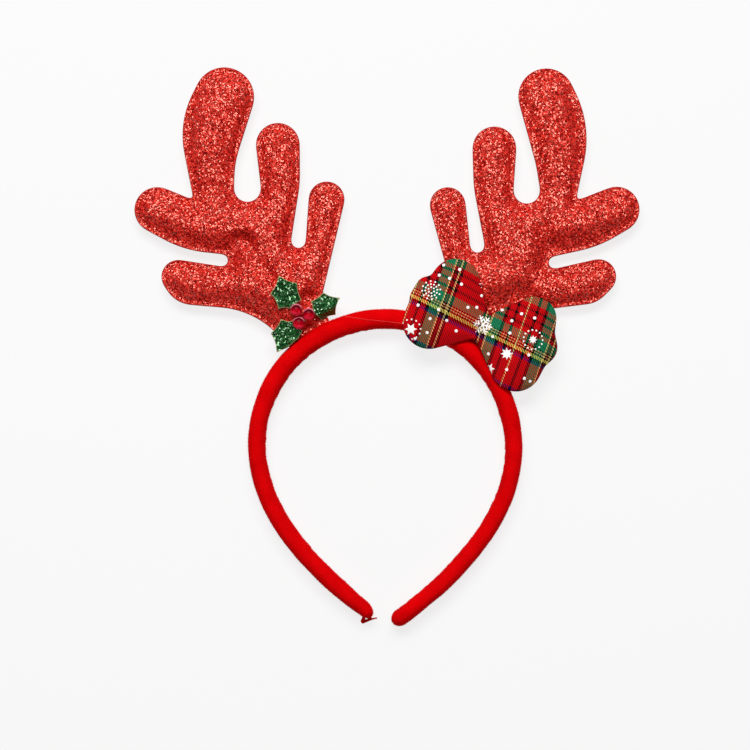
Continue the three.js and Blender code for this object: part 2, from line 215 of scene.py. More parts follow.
def calc(tree, operation, *values, kind="ShaderNodeMath"):
    """A Math node, or one of another kind that is set up like it, fed with values in order."""
    node = tree_node(tree, kind, {"operation": operation})
    for socket, value in zip(node.inputs, values):
        feed(tree, socket, value)
    return node


def ramp(tree, value, stops, interpolation="LINEAR"):
    """A colour that changes with a value, from a list of places and colours."""
    node = tree_node(tree, "ShaderNodeValToRGB", Fac=value)
    node.color_ramp.interpolation = interpolation
    elements = node.color_ramp.elements
    while len(elements) < len(stops):
        elements.new(0.5)
    for element, (place, colour) in zip(elements, stops):
        element.position = place
        element.color = colour
    return node


def noise_value(tree, place, waves, detail=2.0):
    """Soft noise with so many waves in a metre."""
    return tree_node(tree, "ShaderNodeTexNoise", Vector=place, Scale=waves, Detail=detail)


def bump(tree, height, relief):
    """A normal that makes a height look as deep as the relief, in metres."""
    return tree_node(tree, "ShaderNodeBump", Strength=0.5, Distance=relief, Height=height)


# The velvet's brush marks and single hairs, as waves in a metre, and how deep the hairs look.
BRUSH_WAVES = 110.0
HAIR_WAVES = 2600.0
HAIR_RELIEF = 0.2


def velvet_material(name, dark, light):
    """Brushed pile: a soft mottle of two reds with a fine grain and a sheen."""
    material, tree, shader = start_material(
        name,
        Roughness=0.9,
        Specular_IOR_Level=0.02,
        Sheen_Weight=0.3,
        Sheen_Roughness=0.5,
        Sheen_Tint=srgb(255, 0, 10),
    )
    place = tree.nodes.new("ShaderNodeTexCoord").outputs["Object"]
    brushed = noise_value(tree, place, BRUSH_WAVES, 3.0)
    pile = noise_value(tree, place, HAIR_WAVES)
    mottle = calc(tree, "MULTIPLY_ADD", pile, 0.5, calc(tree, "MULTIPLY", brushed, 0.5))
    feed(tree, shader.inputs["Base Color"], ramp(tree, mottle, [(0.3, dark), (0.7, light)]))
    feed(tree, shader.inputs["Normal"], bump(tree, pile, HAIR_RELIEF * MM))
    return material


velvet = velvet_material("red_velvet", srgb(184, 0, 3), srgb(218, 2, 6))

stations = [(BAND_START + share * LEFT_TIP_ROUND, share) for share in TIP_RINGS]
body_start = BAND_START + LEFT_TIP_ROUND
body_end = BAND_END - RIGHT_TIP_ROUND
for distance in np.linspace(body_start, body_end, round((body_end - body_start) / BAND_STEP) + 1):
    stations.append((float(distance), 1.0))
stations += [(BAND_END - share * RIGHT_TIP_ROUND, share) for share in reversed(TIP_RINGS)]


def rounded(value):
    """A cosine or sine drawn out towards the corners of a squarer section."""
    return math.copysign(abs(value) ** (2 / BAND_SQUARENESS), value)


band_points = []
for distance, share in stations:
    point, outward = band_line(distance)
    width, shift = band_shape(distance)
    fullness = math.sqrt(1 - (1 - share) ** 2)
    for k in range(BAND_SIDES):
        angle = 2 * math.pi * k / BAND_SIDES
        across, up = rounded(math.cos(angle)), rounded(math.sin(angle))
        relief = band_relief(distance, across, up)
        offset = shift + (across * width / 2 + math.cos(angle) * relief) * fullness
        height = BAND_MIDDLE + (up * BAND_DEPTH / 2 + math.sin(angle) * relief) * fullness
        band_points.append((*(point + outward * offset), max(height, BAND_LOWEST)))
band_faces = []
for ring in range(len(stations) - 1):
    for k in range(BAND_SIDES):
        a = ring * BAND_SIDES + k
        b = ring * BAND_SIDES + (k + 1) % BAND_SIDES
        band_faces.append((a, b, b + BAND_SIDES, a + BAND_SIDES))
last_ring = len(band_points) - BAND_SIDES
for first, order in ((0, -1), (last_ring, 1)):
    rim = band_points[first : first + BAND_SIDES]
    band_points.append(tuple(np.mean(rim, axis=0)))
    for k in range(BAND_SIDES):
        corners = (first + k, first + (k + 1) % BAND_SIDES, len(band_points) - 1)
        band_faces.append(corners[::order])
band = make_piece("band_velvet", band_points, band_faces, [velvet])
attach(band, "root")
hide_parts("band")

# Nap: the velvet's short pile, which softens the band's outline. Fine tapered hairs of the same red
# cover all but the strip that lies on the table, each leaning its own way.
NAP_DENSITY = 2.0
NAP_LENGTH = 0.45
NAP_WIDTH = 0.07
NAP_LEAN = 0.7
NAP_SIZES = {"Min": 0.6, "Max": 1.2}
NAP_SEED = 11
# No hair is rooted lower above the table than this many times its length.
NAP_CLEARANCE = 1.9


def new_tree(name, **inputs):
    """An empty Geometry Nodes tree with a mesh in and out, and named inputs of the given kinds."""
    tree = bpy.data.node_groups.new(name, "GeometryNodeTree")
    tree.interface.new_socket("Geometry", in_out="INPUT", socket_type="NodeSocketGeometry")
    for label, kind in inputs.items():
        socket_type = "NodeSocket" + kind
        tree.interface.new_socket(label.replace("_", " "), in_out="INPUT", socket_type=socket_type)
    tree.interface.new_socket("Geometry", in_out="OUTPUT", socket_type="NodeSocketGeometry")
    return tree, tree.nodes.new("NodeGroupInput").outputs, tree.nodes.new("NodeGroupOutput").inputs


def end_tree(tree, made, material, result):
    """Ends a tree in real geometry with its material."""
    real = tree_node(tree, "GeometryNodeRealizeInstances", Geometry=made)
    done = tree_node(tree, "GeometryNodeSetMaterial", Geometry=real, Material=material)
    feed(tree, result["Geometry"], done)
    return tree


def apply_modifiers(piece):
    """Keeps what a piece's modifiers make as its plain mesh, and takes them off."""
    evaluated = piece.evaluated_get(bpy.context.evaluated_depsgraph_get())
    mesh = bpy.data.meshes.new_from_object(evaluated)
    piece.modifiers.clear()
    piece.data = mesh
    mesh.name = piece.name


def run_tree(name, mesh, tree, **values):
    """A piece whose plain mesh is what a Geometry Nodes tree makes of a mesh."""
    piece = add_object(name, mesh)
    modifier = piece.modifiers.new(tree.name, "NODES")
    modifier.node_group = tree
    for item in tree.interface.items_tree:
        label = item.name.replace(" ", "_")
        if item.in_out == "INPUT" and label in values:
            modifier[item.identifier] = values[label]
    apply_modifiers(piece)
    return piece


def nap_tree():
    """Tapered hairs over a mesh, each with a lean and a size of its own."""
    tree, given, result = new_tree(
        "Velvet nap",
        Density="Float",
        Length="Float",
        Width="Float",
        Lean="Vector",
        Lowest="Float",
        Seed="Int",
        Hair="Material",
    )
    position = tree_node(tree, "GeometryNodeInputPosition")
    height = tree_node(tree, "ShaderNodeSeparateXYZ", Vector=position)
    clear = tree_node(
        tree,
        "FunctionNodeCompare",
        {"data_type": "FLOAT", "operation": "GREATER_THAN"},
        A=height.outputs["Z"],
        B=given["Lowest"],
    )
    spread = tree_node(
        tree,
        "GeometryNodeDistributePointsOnFaces",
        Mesh=given["Geometry"],
        Selection=clear,
        Density=given["Density"],
        Seed=given["Seed"],
    )
    hair = tree_node(
        tree,
        "GeometryNodeMeshCone",
        {"fill_type": "NGON"},
        Vertices=3,
        Radius_Top=0.0,
        Radius_Bottom=given["Width"],
        Depth=given["Length"],
    )
    backwards = calc(tree, "MULTIPLY", given["Lean"], (-1, -1, -1), kind="ShaderNodeVectorMath")
    lean = tree_node(
        tree,
        "FunctionNodeRandomValue",
        {"data_type": "FLOAT_VECTOR"},
        Min=backwards,
        Max=given["Lean"],
        Seed=given["Seed"],
    )
    tilt = tree_node(
        tree,
        "FunctionNodeRotateEuler",
        {"rotation_type": "EULER", "space": "LOCAL"},
        Rotation=spread.outputs["Rotation"],
        Rotate_By=lean,
    )
    size = tree_node(
        tree, "FunctionNodeRandomValue", {"data_type": "FLOAT"}, Seed=given["Seed"], **NAP_SIZES
    )
    hairs = tree_node(
        tree,
        "GeometryNodeInstanceOnPoints",
        Points=spread.outputs["Points"],
        Instance=hair,
        Rotation=tilt,
        Scale=size,
    )
    return end_tree(tree, hairs, given["Hair"], result)


nap = run_tree(
    "band_nap",
    band.data,
    nap_tree(),
    Density=NAP_DENSITY / MM**2,
    Length=NAP_LENGTH * MM,
    Width=NAP_WIDTH * MM,
    Lean=(NAP_LEAN, NAP_LEAN, 0.0),
    Lowest=NAP_CLEARANCE * NAP_LENGTH * MM,
    Seed=NAP_SEED,
    Hair=velvet,
)
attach(nap, "root")

# Frayed end: where the velvet was cut at the left tip, a few of its threads have come loose and lie
# bent under the tip.
FRAY_RADIUS = 0.36
FRAY_STEP = 0.4
THREAD_SIDES = 6
# Each thread as a run of places: across and up from the middle of the hoop, and above the table.
FRAYED_THREADS = [
    [(-10.7, -84.6, 4.0), (-11.2, -86.4, 2.6), (-11.8, -88.0, 1.2), (-11.9, -88.8, 0.7)],
    [(-11.2, -84.8, 3.6), (-11.6, -86.6, 2.0), (-12.2, -88.0, 0.9), (-11.6, -89.1, 0.5)],
    [(-10.4, -85.2, 3.2), (-10.6, -86.8, 1.6), (-11.3, -88.2, 0.8), (-11.2, -89.0, 0.6)],
    [(-12.0, -88.6, 0.5), (-10.2, -88.0, 0.6), (-7.6, -87.0, 0.8), (-4.3, -86.5, 0.7)],
    [(-11.6, -89.0, 0.9), (-9.6, -88.2, 1.1), (-7.2, -87.2, 1.0), (-5.0, -86.5, 0.6)],
    [(-11.4, -87.6, 1.2), (-10.0, -87.4, 1.2), (-8.6, -87.2, 0.8), (-7.2, -87.0, 0.5)],
    [(-10.2, -84.9, 3.4), (-8.8, -85.9, 2.2), (-7.5, -86.2, 1.2), (-7.9, -86.8, 0.7)],
    [(-10.4, -85.2, 3.0), (-9.4, -86.2, 1.8), (-8.4, -86.6, 1.0), (-7.0, -86.3, 0.5)],
]


def thread_tree():
    """Round threads along the bare edges of a mesh."""
    tree, given, result = new_tree("Loose threads", Radius="Float", Step="Float", Thread="Material")
    path = tree_node(tree, "GeometryNodeMeshToCurve", Mesh=given["Geometry"])
    smooth = tree_node(tree, "GeometryNodeCurveSplineType", {"spline_type": "CATMULL_ROM"}, Curve=path)
    by_length = {"mode": "LENGTH"}
    even = tree_node(tree, "GeometryNodeResampleCurve", by_length, Curve=smooth, Length=given["Step"])
    ring = tree_node(
        tree, "GeometryNodeCurvePrimitiveCircle", Resolution=THREAD_SIDES, Radius=given["Radius"]
    )
    tube = tree_node(tree, "GeometryNodeCurveToMesh", Curve=even, Profile_Curve=ring, Fill_Caps=True)
    return end_tree(tree, tube, given["Thread"], result)


def polyline_mesh(name, lines, closed=False):
    """A mesh of bare edges along runs of points in millimetres."""
    points, edges = [], []
    for line in lines:
        first = len(points)
        points += [tuple(point) for point in np.asarray(line) * MM]
        edges += [(i, i + 1) for i in range(first, len(points) - 1)]
        if closed:
            edges.append((len(points) - 1, first))
    mesh = bpy.data.meshes.new(name)
    mesh.from_pydata(points, edges, [])
    return mesh


loose_threads = thread_tree()
fray_lines = [[(*(hoop_centre + place[:2]), place[2]) for place in line] for line in FRAYED_THREADS]
fray = run_tree(
    "band_frayed_end",
    polyline_mesh("frayed_threads", fray_lines),
    loose_threads,
    Radius=FRAY_RADIUS * MM,
    Step=FRAY_STEP * MM,
    Thread=velvet,
)
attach(fray, "root")

# Lap fold: the velvet's free edge is turned under and glued down across the crown. Its fold is coloured
# a little paler than the rest and shows as a fine line that runs in under the bow.
FOLD_RADIUS = 0.26
FOLD_STEP = 0.5
DROP_HEIGHT = 100


def drop_on(surface, place):
    """The point of a surface straight under a flat place and the way it faces there, if any."""
    hit, facing, *_ = surface.ray_cast(Vector((*place, DROP_HEIGHT)) * MM, Vector((0, 0, -1)))
    return (np.array(hit) / MM, facing) if hit else (None, None)


def surface_of(pieces):
    """One surface to cast rays at, from the meshes of several pieces."""
    points, faces = [], []
    for piece in pieces:
        first = len(points)
        points += [vertex.co for vertex in piece.data.vertices]
        faces += [[first + i for i in polygon.vertices] for polygon in piece.data.polygons]
    return BVHTree.FromPolygons(points, faces)


band_surface = surface_of([band])
fold_line = []
for distance in np.arange(LAP_LINE[0][0], LAP_LINE[-1][0]):
    point, outward = band_line(distance)
    _, shift = band_shape(distance)
    top, _ = drop_on(band_surface, point + outward * (shift + lap_edge(distance)))
    fold_line.append(top)
lap_fold = run_tree(
    "band_lap_fold",
    polyline_mesh("fold_line", [fold_line]),
    loose_threads,
    Radius=FOLD_RADIUS * MM,
    Step=FOLD_STEP * MM,
    Thread=velvet_material("worn_velvet", srgb(206, 14, 18), srgb(238, 62, 60)),
)
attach(lap_fold, "root")

# Antlers: each is two plies of red glitter cloth cut to one outline, laid face out, sewn together a
# little inside the cut edge and stuffed. The foot is glued to the outside of the band.
ANTLER_MIDDLE = 6.5
ANTLER_RIM = 1.7
SEAM_RIM = 1.1
SEAM_MARGIN = 2.2
SEAM_SLACK = 0.05
CLOTH_SPACING = 2.2
EDGE_STEP = 1.7
FOOT_GAP = -0.2
CUT_RIM = 0.45
CUT_BEVEL = 0.3
GLUE_WIDTH = 1.0
ANTLER_LOWEST = 0.05
BAND_OUTSIDE = CROWN_RADIUS + BAND_WIDTH / 2
# The stuffing is packed to the seam: below 1, the sides rise more steeply and the top is flatter.
PLUMPNESS = 0.75
# Where each foot stands, in degrees from the crown, how far the antler leans outwards and how much
# taller than its pattern it came out.
ANTLERS = [
    {"side": "left", "way": -1, "foot": 34.2, "lean": 0.0, "stretch": 1.0},
    {"side": "right", "way": 1, "foot": 38.3, "lean": -2.1, "stretch": 1.007},
]
# The cut outline as a belt round pulleys: x is outwards and y upwards from the middle of the foot.
# The belt turns left round an out pulley and right round an in one, which is a crotch or a hollow.
ANTLER_PULLEYS = [
    ("outer foot", 2.2, -17, 1, "out"),
    ("foot hollow", 47.1, -31.2, 45, "in"),
    ("low tine heel", 57.5, 29, 14.5, "out"),
    ("low tine tip", 64.5, 27.8, 8.5, "out"),
    ("low slot", 43, 36, 3, "in"),
    ("outer tine belly", 45.5, 105.6, 64.8, "out"),
    ("outer tine tip", 75.5, 61.2, 11.5, "out"),
    ("sharp crotch", 55.8, 67.2, 0.6, "in"),
    ("tall tine back", 8.9, 98.5, 53, "out"),
    ("tall tine tip", 42, 117.6, 15, "out"),
    ("tall tine hollow", -13, 76.5, 49, "in"),
    ("upper crotch", 30.4, 72.2, 6.3, "in"),
    ("middle tine tip", 15.2, 93.8, 11, "out"),
    ("middle tine side", 64.1, 79, 60, "out"),
    ("inner crotch", 4.9, 45.7, 3.6, "in"),
    ("inner tine tip", -9.2, 66.5, 9, "out"),
    ("inner hollow", -17.2, 15.5, 10.6, "in"),
    ("inner foot", -15.6, -4, 1, "out"),
]
# Where an antler was cut a little off the pattern: how far a pulley moves out and up, and its growth.
OFF_PATTERN = {
    "left": {
        "foot hollow": (0.0, 0.0, -1.3),
        "low tine heel": (0.0, 0.0, 0.9),
        "low tine tip": (0.5, 0.0, 0.0),
        "outer tine belly": (0.0, -10.0, -8.8),
        "sharp crotch": (2.4, 0.0, 0.0),
        "tall tine back": (8.0, 0.0, -7.0),
        "tall tine hollow": (0.3, 0.0, 0.6),
        "upper crotch": (0.0, -0.3, 0.4),
    },
    "right": {
        "low tine tip": (0.5, 0.4, 0.3),
        "outer tine belly": (0.0, -5.6, -4.8),
        "outer tine tip": (-0.3, 0.0, 0.0),
        "tall tine back": (-0.4, 0.0, 0.0),
        "tall tine tip": (0.1, 1.0, -0.9),
        "tall tine hollow": (0.0, 0.0, 0.3),
        "upper crotch": (0.2, 0.0, 0.3),
    },
}
# Soft valleys in the stuffing: the place, across and up from the middle of the hoop where a valley
# starts and where it ends, its depth and its width. The back has them too, but shallower.
ANTLER_FOLDS = {
    "left": [
        ("tall tine hem", -97.5, 172, -98, 136, 1.7, 2.6),
        ("tall tine root", -90, 130, -83, 129.5, 0.9, 2.0),
        ("slot dent", -79, 93.5, -74, 102, 3.2, 3.4),
        ("dent heart", -74, 102, -69.5, 103, 4.2, 2.8),
        ("palm valley", -67.5, 101, -60, 85, 2.7, 4.3),
        ("leaf dent", -60, 88, -56, 84, 1.5, 3.5),
        ("sharp crotch", -95, 124, -87, 115, 1.3, 3.6),
        ("outer tine hem", -118, 111, -86, 100, 1.2, 3.0),
        ("foot pinch", -40.5, 73.6, -31.5, 72.2, 8.0, 2.6),
        ("low tine root", -86, 74, -64, 71, 1.1, 4.0),
    ],
    "right": [
        ("tall tine hem", 92, 177, 97.5, 136, 1.8, 2.8),
        ("tall tine side", 72, 168, 77, 152, 1.2, 3.2),
        ("sharp crotch", 97, 123, 89, 118, 1.0, 3.6),
        ("slot dent", 82, 94, 79, 109, 2.2, 4.6),
        ("outer tine hem", 83, 101, 117, 110, 1.2, 3.0),
        ("low tine root", 76, 88, 70, 80, 1.2, 4.0),
        ("palm foot", 64, 78, 72, 75, 1.6, 4.0),
        ("under the bow", 44, 67, 66, 70, 4.8, 9.0),
    ],
}
BACK_FOLDS = 0.5
# A valley takes up at most this share of the stuffing's height.
DEEPEST_FOLD = 0.85
# The simulation runs on an enlarged copy, in units of 100 mm.
STUFFING = {"scale": 0.01, "mass": 0.02, "quality": 5, "frames": 24, "damping": 2.0}
ANTLER_STUFFING = {"pressure": 45, "slack": 0.0, "tension": 2, "bending": 0.5}
# How fast the cloth already rises from its seam when the stuffing starts.
ANTLER_START = 0.3
# Flat cloth is cut with its round corners in short steps, a row of points along the foot and, as shares
# of a row's inset or spacing, the room that its points keep from the edge, each other and the field.
ARC_STEP = 0.4
FOOT_POINTS = 24
EDGE_ROOM = 0.95
POINT_ROOM = 0.55
FIELD_ROOM = 0.7
RIM_SLACK = 0.03


def belt_edge(pulleys, step):
    """Even points round a belt, in turn to the left."""
    wheels = [(x, y, r, 1 if side == "out" else -1) for _, x, y, r, side in pulleys]
    runs = []
    for (x, y, r, way), (x1, y1, r1, way1) in zip(wheels, wheels[1:] + wheels[:1]):
        slant = (way * r - way1 * r1) / math.hypot(x1 - x, y1 - y)
        runs.append(math.atan2(y1 - y, x1 - x) + math.asin(slant))
    points = []
    for i, (x, y, r, way) in enumerate(wheels):
        start = runs[i - 1] - way * math.pi / 2
        sweep = way * ((way * (runs[i] - runs[i - 1])) % (2 * math.pi))
        for angle in start + sweep * np.linspace(0, 1, max(3, round(abs(sweep) * r / ARC_STEP))):
            points.append((x + r * math.cos(angle), y + r * math.sin(angle)))
    return even_loop(np.array(points), step)


def even_loop(points, step):
    """Points spaced evenly round a closed loop, which runs to the left."""
    following = np.roll(points, -1, 0)
    if np.sum(points[:, 0] * following[:, 1] - points[:, 1] * following[:, 0]) < 0:
        points = points[::-1]
    closed = np.vstack([points, points[:1]])
    lengths = np.linalg.norm(np.diff(closed, axis=0), axis=1)
    along = np.concatenate([[0], np.cumsum(lengths)])
    count = round(along[-1] / step)
    places = np.arange(count) * along[-1] / count
    return np.stack([np.interp(places, along, closed[:, k]) for k in (0, 1)], 1)


def cut_at_band(edge, gap, step):
    """An edge with its part over the band cut off along the band's outer wall."""

    def wall(angle):
        """How far the wall is from the middle of the hoop, with the gap."""
        width, shift = band_shape(CROWN_RADIUS * (angle + BAND_TURN))
        return CROWN_RADIUS + shift + width / 2 + gap

    angles = np.arctan2(*(edge - hoop_centre).T)
    reach = np.linalg.norm(edge - hoop_centre, axis=1)
    outside = np.array([out > wall(angle) for out, angle in zip(reach, angles)])
    if outside.all():
        return edge
    start = next(i for i in range(len(edge)) if outside[i] and not outside[i - 1])
    kept = np.roll(edge, -start, 0)[np.roll(outside, -start)]
    first, last = (np.arctan2(*(kept[i] - hoop_centre)) for i in (0, -1))
    ways = np.linspace(last, first, FOOT_POINTS)
    arc = [wall(angle) * np.array([math.sin(angle), math.cos(angle)]) for angle in ways]
    return even_loop(np.vstack([kept, hoop_centre + np.array(arc)]), step)


def edge_distance(points, edge):
    """How far each flat point is from a closed edge."""
    run = np.roll(edge, -1, 0) - edge
    offset = points[:, None] - edge[None]
    share = np.clip((offset * run).sum(-1) / (run**2).sum(-1), 0, 1)
    return np.linalg.norm(offset - share[..., None] * run, axis=-1).min(1)


def inside_edge(points, edge):
    """Which flat points lie inside a closed edge."""
    following = np.roll(edge, -1, 0)
    x, y = points[:, :1], points[:, 1:]
    crosses = (edge[:, 1] > y) != (following[:, 1] > y)
    rise = np.where(following[:, 1] == edge[:, 1], 1.0, following[:, 1] - edge[:, 1])
    meets = edge[:, 0] + (y - edge[:, 1]) * (following[:, 0] - edge[:, 0]) / rise
    return (crosses & (x < meets)).sum(1) % 2 == 1


def inset_row(edge, inset):
    """The points of an edge moved inwards, without those too near another stretch of it."""
    tangent = np.roll(edge, -1, 0) - np.roll(edge, 1, 0)
    tangent /= np.linalg.norm(tangent, axis=1)[:, None]
    row = edge + np.stack([-tangent[:, 1], tangent[:, 0]], 1) * inset
    row = row[inside_edge(row, edge) & (edge_distance(row, edge) > EDGE_ROOM * inset)]
    apart = POINT_ROOM * np.linalg.norm(edge[1] - edge[0])
    kept = [row[0]]
    for point in row[1:]:
        if np.linalg.norm(np.array(kept) - point, axis=1).min() > apart:
            kept.append(point)
    return np.array(kept)


def flat_cloth(edge, rows, spacing):
    """Triangles over a closed edge: rows that follow it at the given insets, then an even field."""
    low, high = edge.min(0), edge.max(0)
    pitch = spacing * math.sqrt(3) / 2
    field = []
    for row in range(int((high[1] - low[1]) / pitch) + 1):
        for column in range(int((high[0] - low[0]) / spacing) + 1):
            field.append((low[0] + (column + row % 2 / 2) * spacing, low[1] + row * pitch))
    field = np.array(field)
    clear = edge_distance(field, edge) > rows[-1] + FIELD_ROOM * spacing
    field = field[inside_edge(field, edge) & clear]
    points = np.vstack([edge, *[inset_row(edge, inset) for inset in rows], field])
    loop = [(i, (i + 1) % len(edge)) for i in range(len(edge))]
    corners, _, faces, *_ = delaunay_2d_cdt([Vector(point) for point in points], loop, [], 1, 1e-6)
    flat = np.array([tuple(corner) for corner in corners])
    turned = []
    for a, b, c in faces:
        left = np.cross(flat[b] - flat[a], flat[c] - flat[a]) > 0
        turned.append((a, b, c) if left else (a, c, b))
    return flat, turned


def two_plies(flat, faces, front, back):
    """A closed body between two heights over flat triangles, and the first face of its cut edge."""
    count = len(flat)
    points = np.vstack([np.column_stack([flat, front]), np.column_stack([flat, back])])
    runs = {(face[k], face[(k + 1) % 3]) for face in faces for k in range(3)}
    cut = sorted((a, a + count, b + count, b) for a, b in runs if (b, a) not in runs)
    behind = [tuple(count + corner for corner in reversed(face)) for face in faces]
    return points, faces + behind + cut, len(faces) * 2


def stuff(points, faces, seam, pressure, slack, tension, bending):
    """Where a two-ply piece's points are once stuffing has filled it, from a cloth simulation."""
    scale = STUFFING["scale"]
    mesh = bpy.data.meshes.new("stuffing")
    mesh.from_pydata((points * scale).tolist(), [], faces)
    pillow = add_object("stuffing", mesh)
    held = pillow.vertex_groups.new(name="seam")
    held.add([int(i) for i in np.nonzero(seam)[0]], 1.0, "REPLACE")
    modifier = pillow.modifiers.new("Stuffing", "CLOTH")
    modifier.collision_settings.use_collision = False
    modifier.point_cache.frame_start = 1
    modifier.point_cache.frame_end = STUFFING["frames"]
    cloth = modifier.settings
    cloth.quality = STUFFING["quality"]
    cloth.mass = STUFFING["mass"]
    cloth.air_damping = STUFFING["damping"]
    cloth.tension_stiffness = tension
    cloth.compression_stiffness = tension
    cloth.shear_stiffness = tension / 2
    cloth.bending_stiffness = bending
    cloth.shrink_min = -slack
    cloth.use_pressure = True
    cloth.uniform_pressure_force = pressure
    cloth.vertex_group_mass = held.name
    cloth.effector_weights.gravity = 0
    for step in range(1, STUFFING["frames"] + 1):
        bpy.context.scene.frame_set(step)
    swollen = pillow.evaluated_get(bpy.context.evaluated_depsgraph_get()).data
    places = np.empty(len(points) * 3, np.float32)
    swollen.vertices.foreach_get("co", places)
    bpy.data.objects.remove(pillow)
    return places.reshape(-1, 3).astype(float) / scale


def fold_depth(flat, folds):
    """How deep a list of soft valleys presses in at each flat point."""
    depth = np.zeros(len(flat))
    for _, x0, y0, x1, y1, deepest, width in folds:
        start = hoop_centre + (x0, y0)
        run = hoop_centre + (x1, y1) - start
        offset = flat - start
        share = np.clip((offset @ run) / (run @ run), 0, 1)
        away = np.linalg.norm(offset - share[:, None] * run, axis=1)
        depth += deepest * np.exp(-((away / width) ** 2))
    return depth


def paint_cut_edge(piece, depth, rim, cut_from):
    """Gives a two-ply piece's edge wall, and the narrow rim beside it, the second material."""
    for polygon in piece.data.polygons:
        corners = [depth[corner % len(depth)] for corner in polygon.vertices]
        if polygon.index >= cut_from or max(corners) < rim + RIM_SLACK:
            polygon.material_index = 1


def smooth_piece(piece):
    """Rounds a piece with one level of subdivision, kept as a plain mesh."""
    modifier = piece.modifiers.new("Smooth", "SUBSURF")
    modifier.levels = 1
    modifier.render_levels = 1
    apply_modifiers(piece)


def mix_colours(tree, share, first, second, way="MIX"):
    """A colour mixed with another one, or multiplied by it."""
    settings = {"data_type": "RGBA", "blend_type": way}
    return tree_node(tree, "ShaderNodeMix", settings, Factor=share, A=first, B=second)


GLITTER_INPUTS = {
    "Flake Size": "Float",
    "Tilt": "Float",
    "Shadow": "Color",
    "Ground": "Color",
    "Lit": "Color",
}
GLITTER_OUTPUTS = {"Color": "Color", "Roughness": "Float", "Normal": "Vector"}
# Each flake draws a chance from 0 to 1. The shade changes to the next one between these two chances.
SHADE_CHANCES = {"Ground": (0.05, 0.4), "Lit": (0.4, 0.9)}
# Factors that shuffle a flake's own three random numbers into new ones.
SHUFFLE = 11.3
SHADE_SHUFFLE = 7.7
GLOSS_SHUFFLE = 9.1
SMOOTHEST_FLAKE = 0.1
FLAKE_SPREAD = 0.16
FLAKE_IOR = 1.8


def glitter_group():
    """Glitter flakes: each cell of the surface gets its own colour, roughness and tilt."""
    tree = bpy.data.node_groups.new("Glitter flakes", "ShaderNodeTree")
    for in_out, sockets in (("INPUT", GLITTER_INPUTS), ("OUTPUT", GLITTER_OUTPUTS)):
        for label, kind in sockets.items():
            tree.interface.new_socket(label, in_out=in_out, socket_type="NodeSocket" + kind)
    given = tree.nodes.new("NodeGroupInput").outputs
    result = tree.nodes.new("NodeGroupOutput").inputs
    place = tree.nodes.new("ShaderNodeTexCoord").outputs["Object"]
    flakes_per_metre = calc(tree, "DIVIDE", 1.0, given["Flake Size"])
    cells = tree_node(tree, "ShaderNodeTexVoronoi", Vector=place, Scale=flakes_per_metre)
    drawn = cells.outputs["Color"]
    split = tree_node(tree, "ShaderNodeSeparateColor", Color=drawn).outputs
    mixed_up = calc(tree, "MULTIPLY_ADD", split["Red"], SHUFFLE, split["Blue"])
    chance, gloss = (
        calc(tree, "FRACT", calc(tree, "MULTIPLY_ADD", split["Green"], factor, mixed_up))
        for factor in (SHADE_SHUFFLE, GLOSS_SHUFFLE)
    )
    colour = given["Shadow"]
    for shade, (low, high) in SHADE_CHANCES.items():
        share = tree_node(tree, "ShaderNodeMapRange", Value=chance, From_Min=low, From_Max=high)
        colour = mix_colours(tree, share, colour, given[shade])
    feed(tree, result["Color"], colour)
    feed(tree, result["Roughness"], calc(tree, "MULTIPLY_ADD", gloss, FLAKE_SPREAD, SMOOTHEST_FLAKE))
    vectors = "ShaderNodeVectorMath"
    lean = calc(tree, "SUBTRACT", drawn, (0.5, 0.5, 0.5), kind=vectors)
    tilt = calc(tree, "MULTIPLY", lean, given["Tilt"], kind=vectors)
    upright = tree.nodes.new("ShaderNodeNewGeometry").outputs["Normal"]
    facing = calc(tree, "ADD", upright, tilt, kind=vectors)
    feed(tree, result["Normal"], calc(tree, "NORMALIZE", facing, kind=vectors))
    return tree


glitter = glitter_group()


def glitter_material(name, flake, tilt, shine, gleam, **shades):
    """Cloth or felt covered in glitter flakes of a size in millimetres."""
    material, tree, shader = start_material(
        name, IOR=FLAKE_IOR, Specular_IOR_Level=shine, Specular_Tint=gleam
    )
    group = {"node_tree": glitter}
    flakes = tree_node(tree, "ShaderNodeGroup", group, Flake_Size=flake * MM, Tilt=tilt, **shades)
    feed(tree, shader.inputs["Base Color"], flakes.outputs["Color"])
    feed(tree, shader.inputs["Roughness"], flakes.outputs["Roughness"])
    feed(tree, shader.inputs["Normal"], flakes.outputs["Normal"])
    return material


def plain_cloth(name, dark, light, grain):
    """A matt woven or felted surface with a fine grain."""
    material, tree, shader = start_material(name, Roughness=0.85, Specular_IOR_Level=0.2)
    place = tree.nodes.new("ShaderNodeTexCoord").outputs["Object"]
    fibres = noise_value(tree, place, 1 / (grain * MM), 3.0)
    feed(tree, shader.inputs["Base Color"], ramp(tree, fibres, [(0.35, dark), (0.65, light)]))
    feed(tree, shader.inputs["Normal"], bump(tree, fibres, grain * MM / 3))
    return material


red_glitter = glitter_material(
    "red_glitter",
    flake=0.55,
    tilt=0.85,
    shine=0.72,
    gleam=srgb(255, 160, 142),
    Shadow=srgb(104, 0, 0),
    Ground=srgb(160, 0, 0),
    Lit=srgb(240, 54, 42),
)
red_cut = plain_cloth("red_cut_edge", srgb(132, 8, 8), srgb(184, 22, 18), 0.3)
red_thread = plain_cloth("red_thread", srgb(120, 4, 6), srgb(165, 16, 16), 0.15)

# Topstitch: one row of red sewing thread that holds the two plies together. It runs round each antler
# a little inside the cut edge and shows on both faces.
STITCH_PITCH = 1.75
STITCH_LENGTH = 1.25
STITCH_WIDTH = 0.34


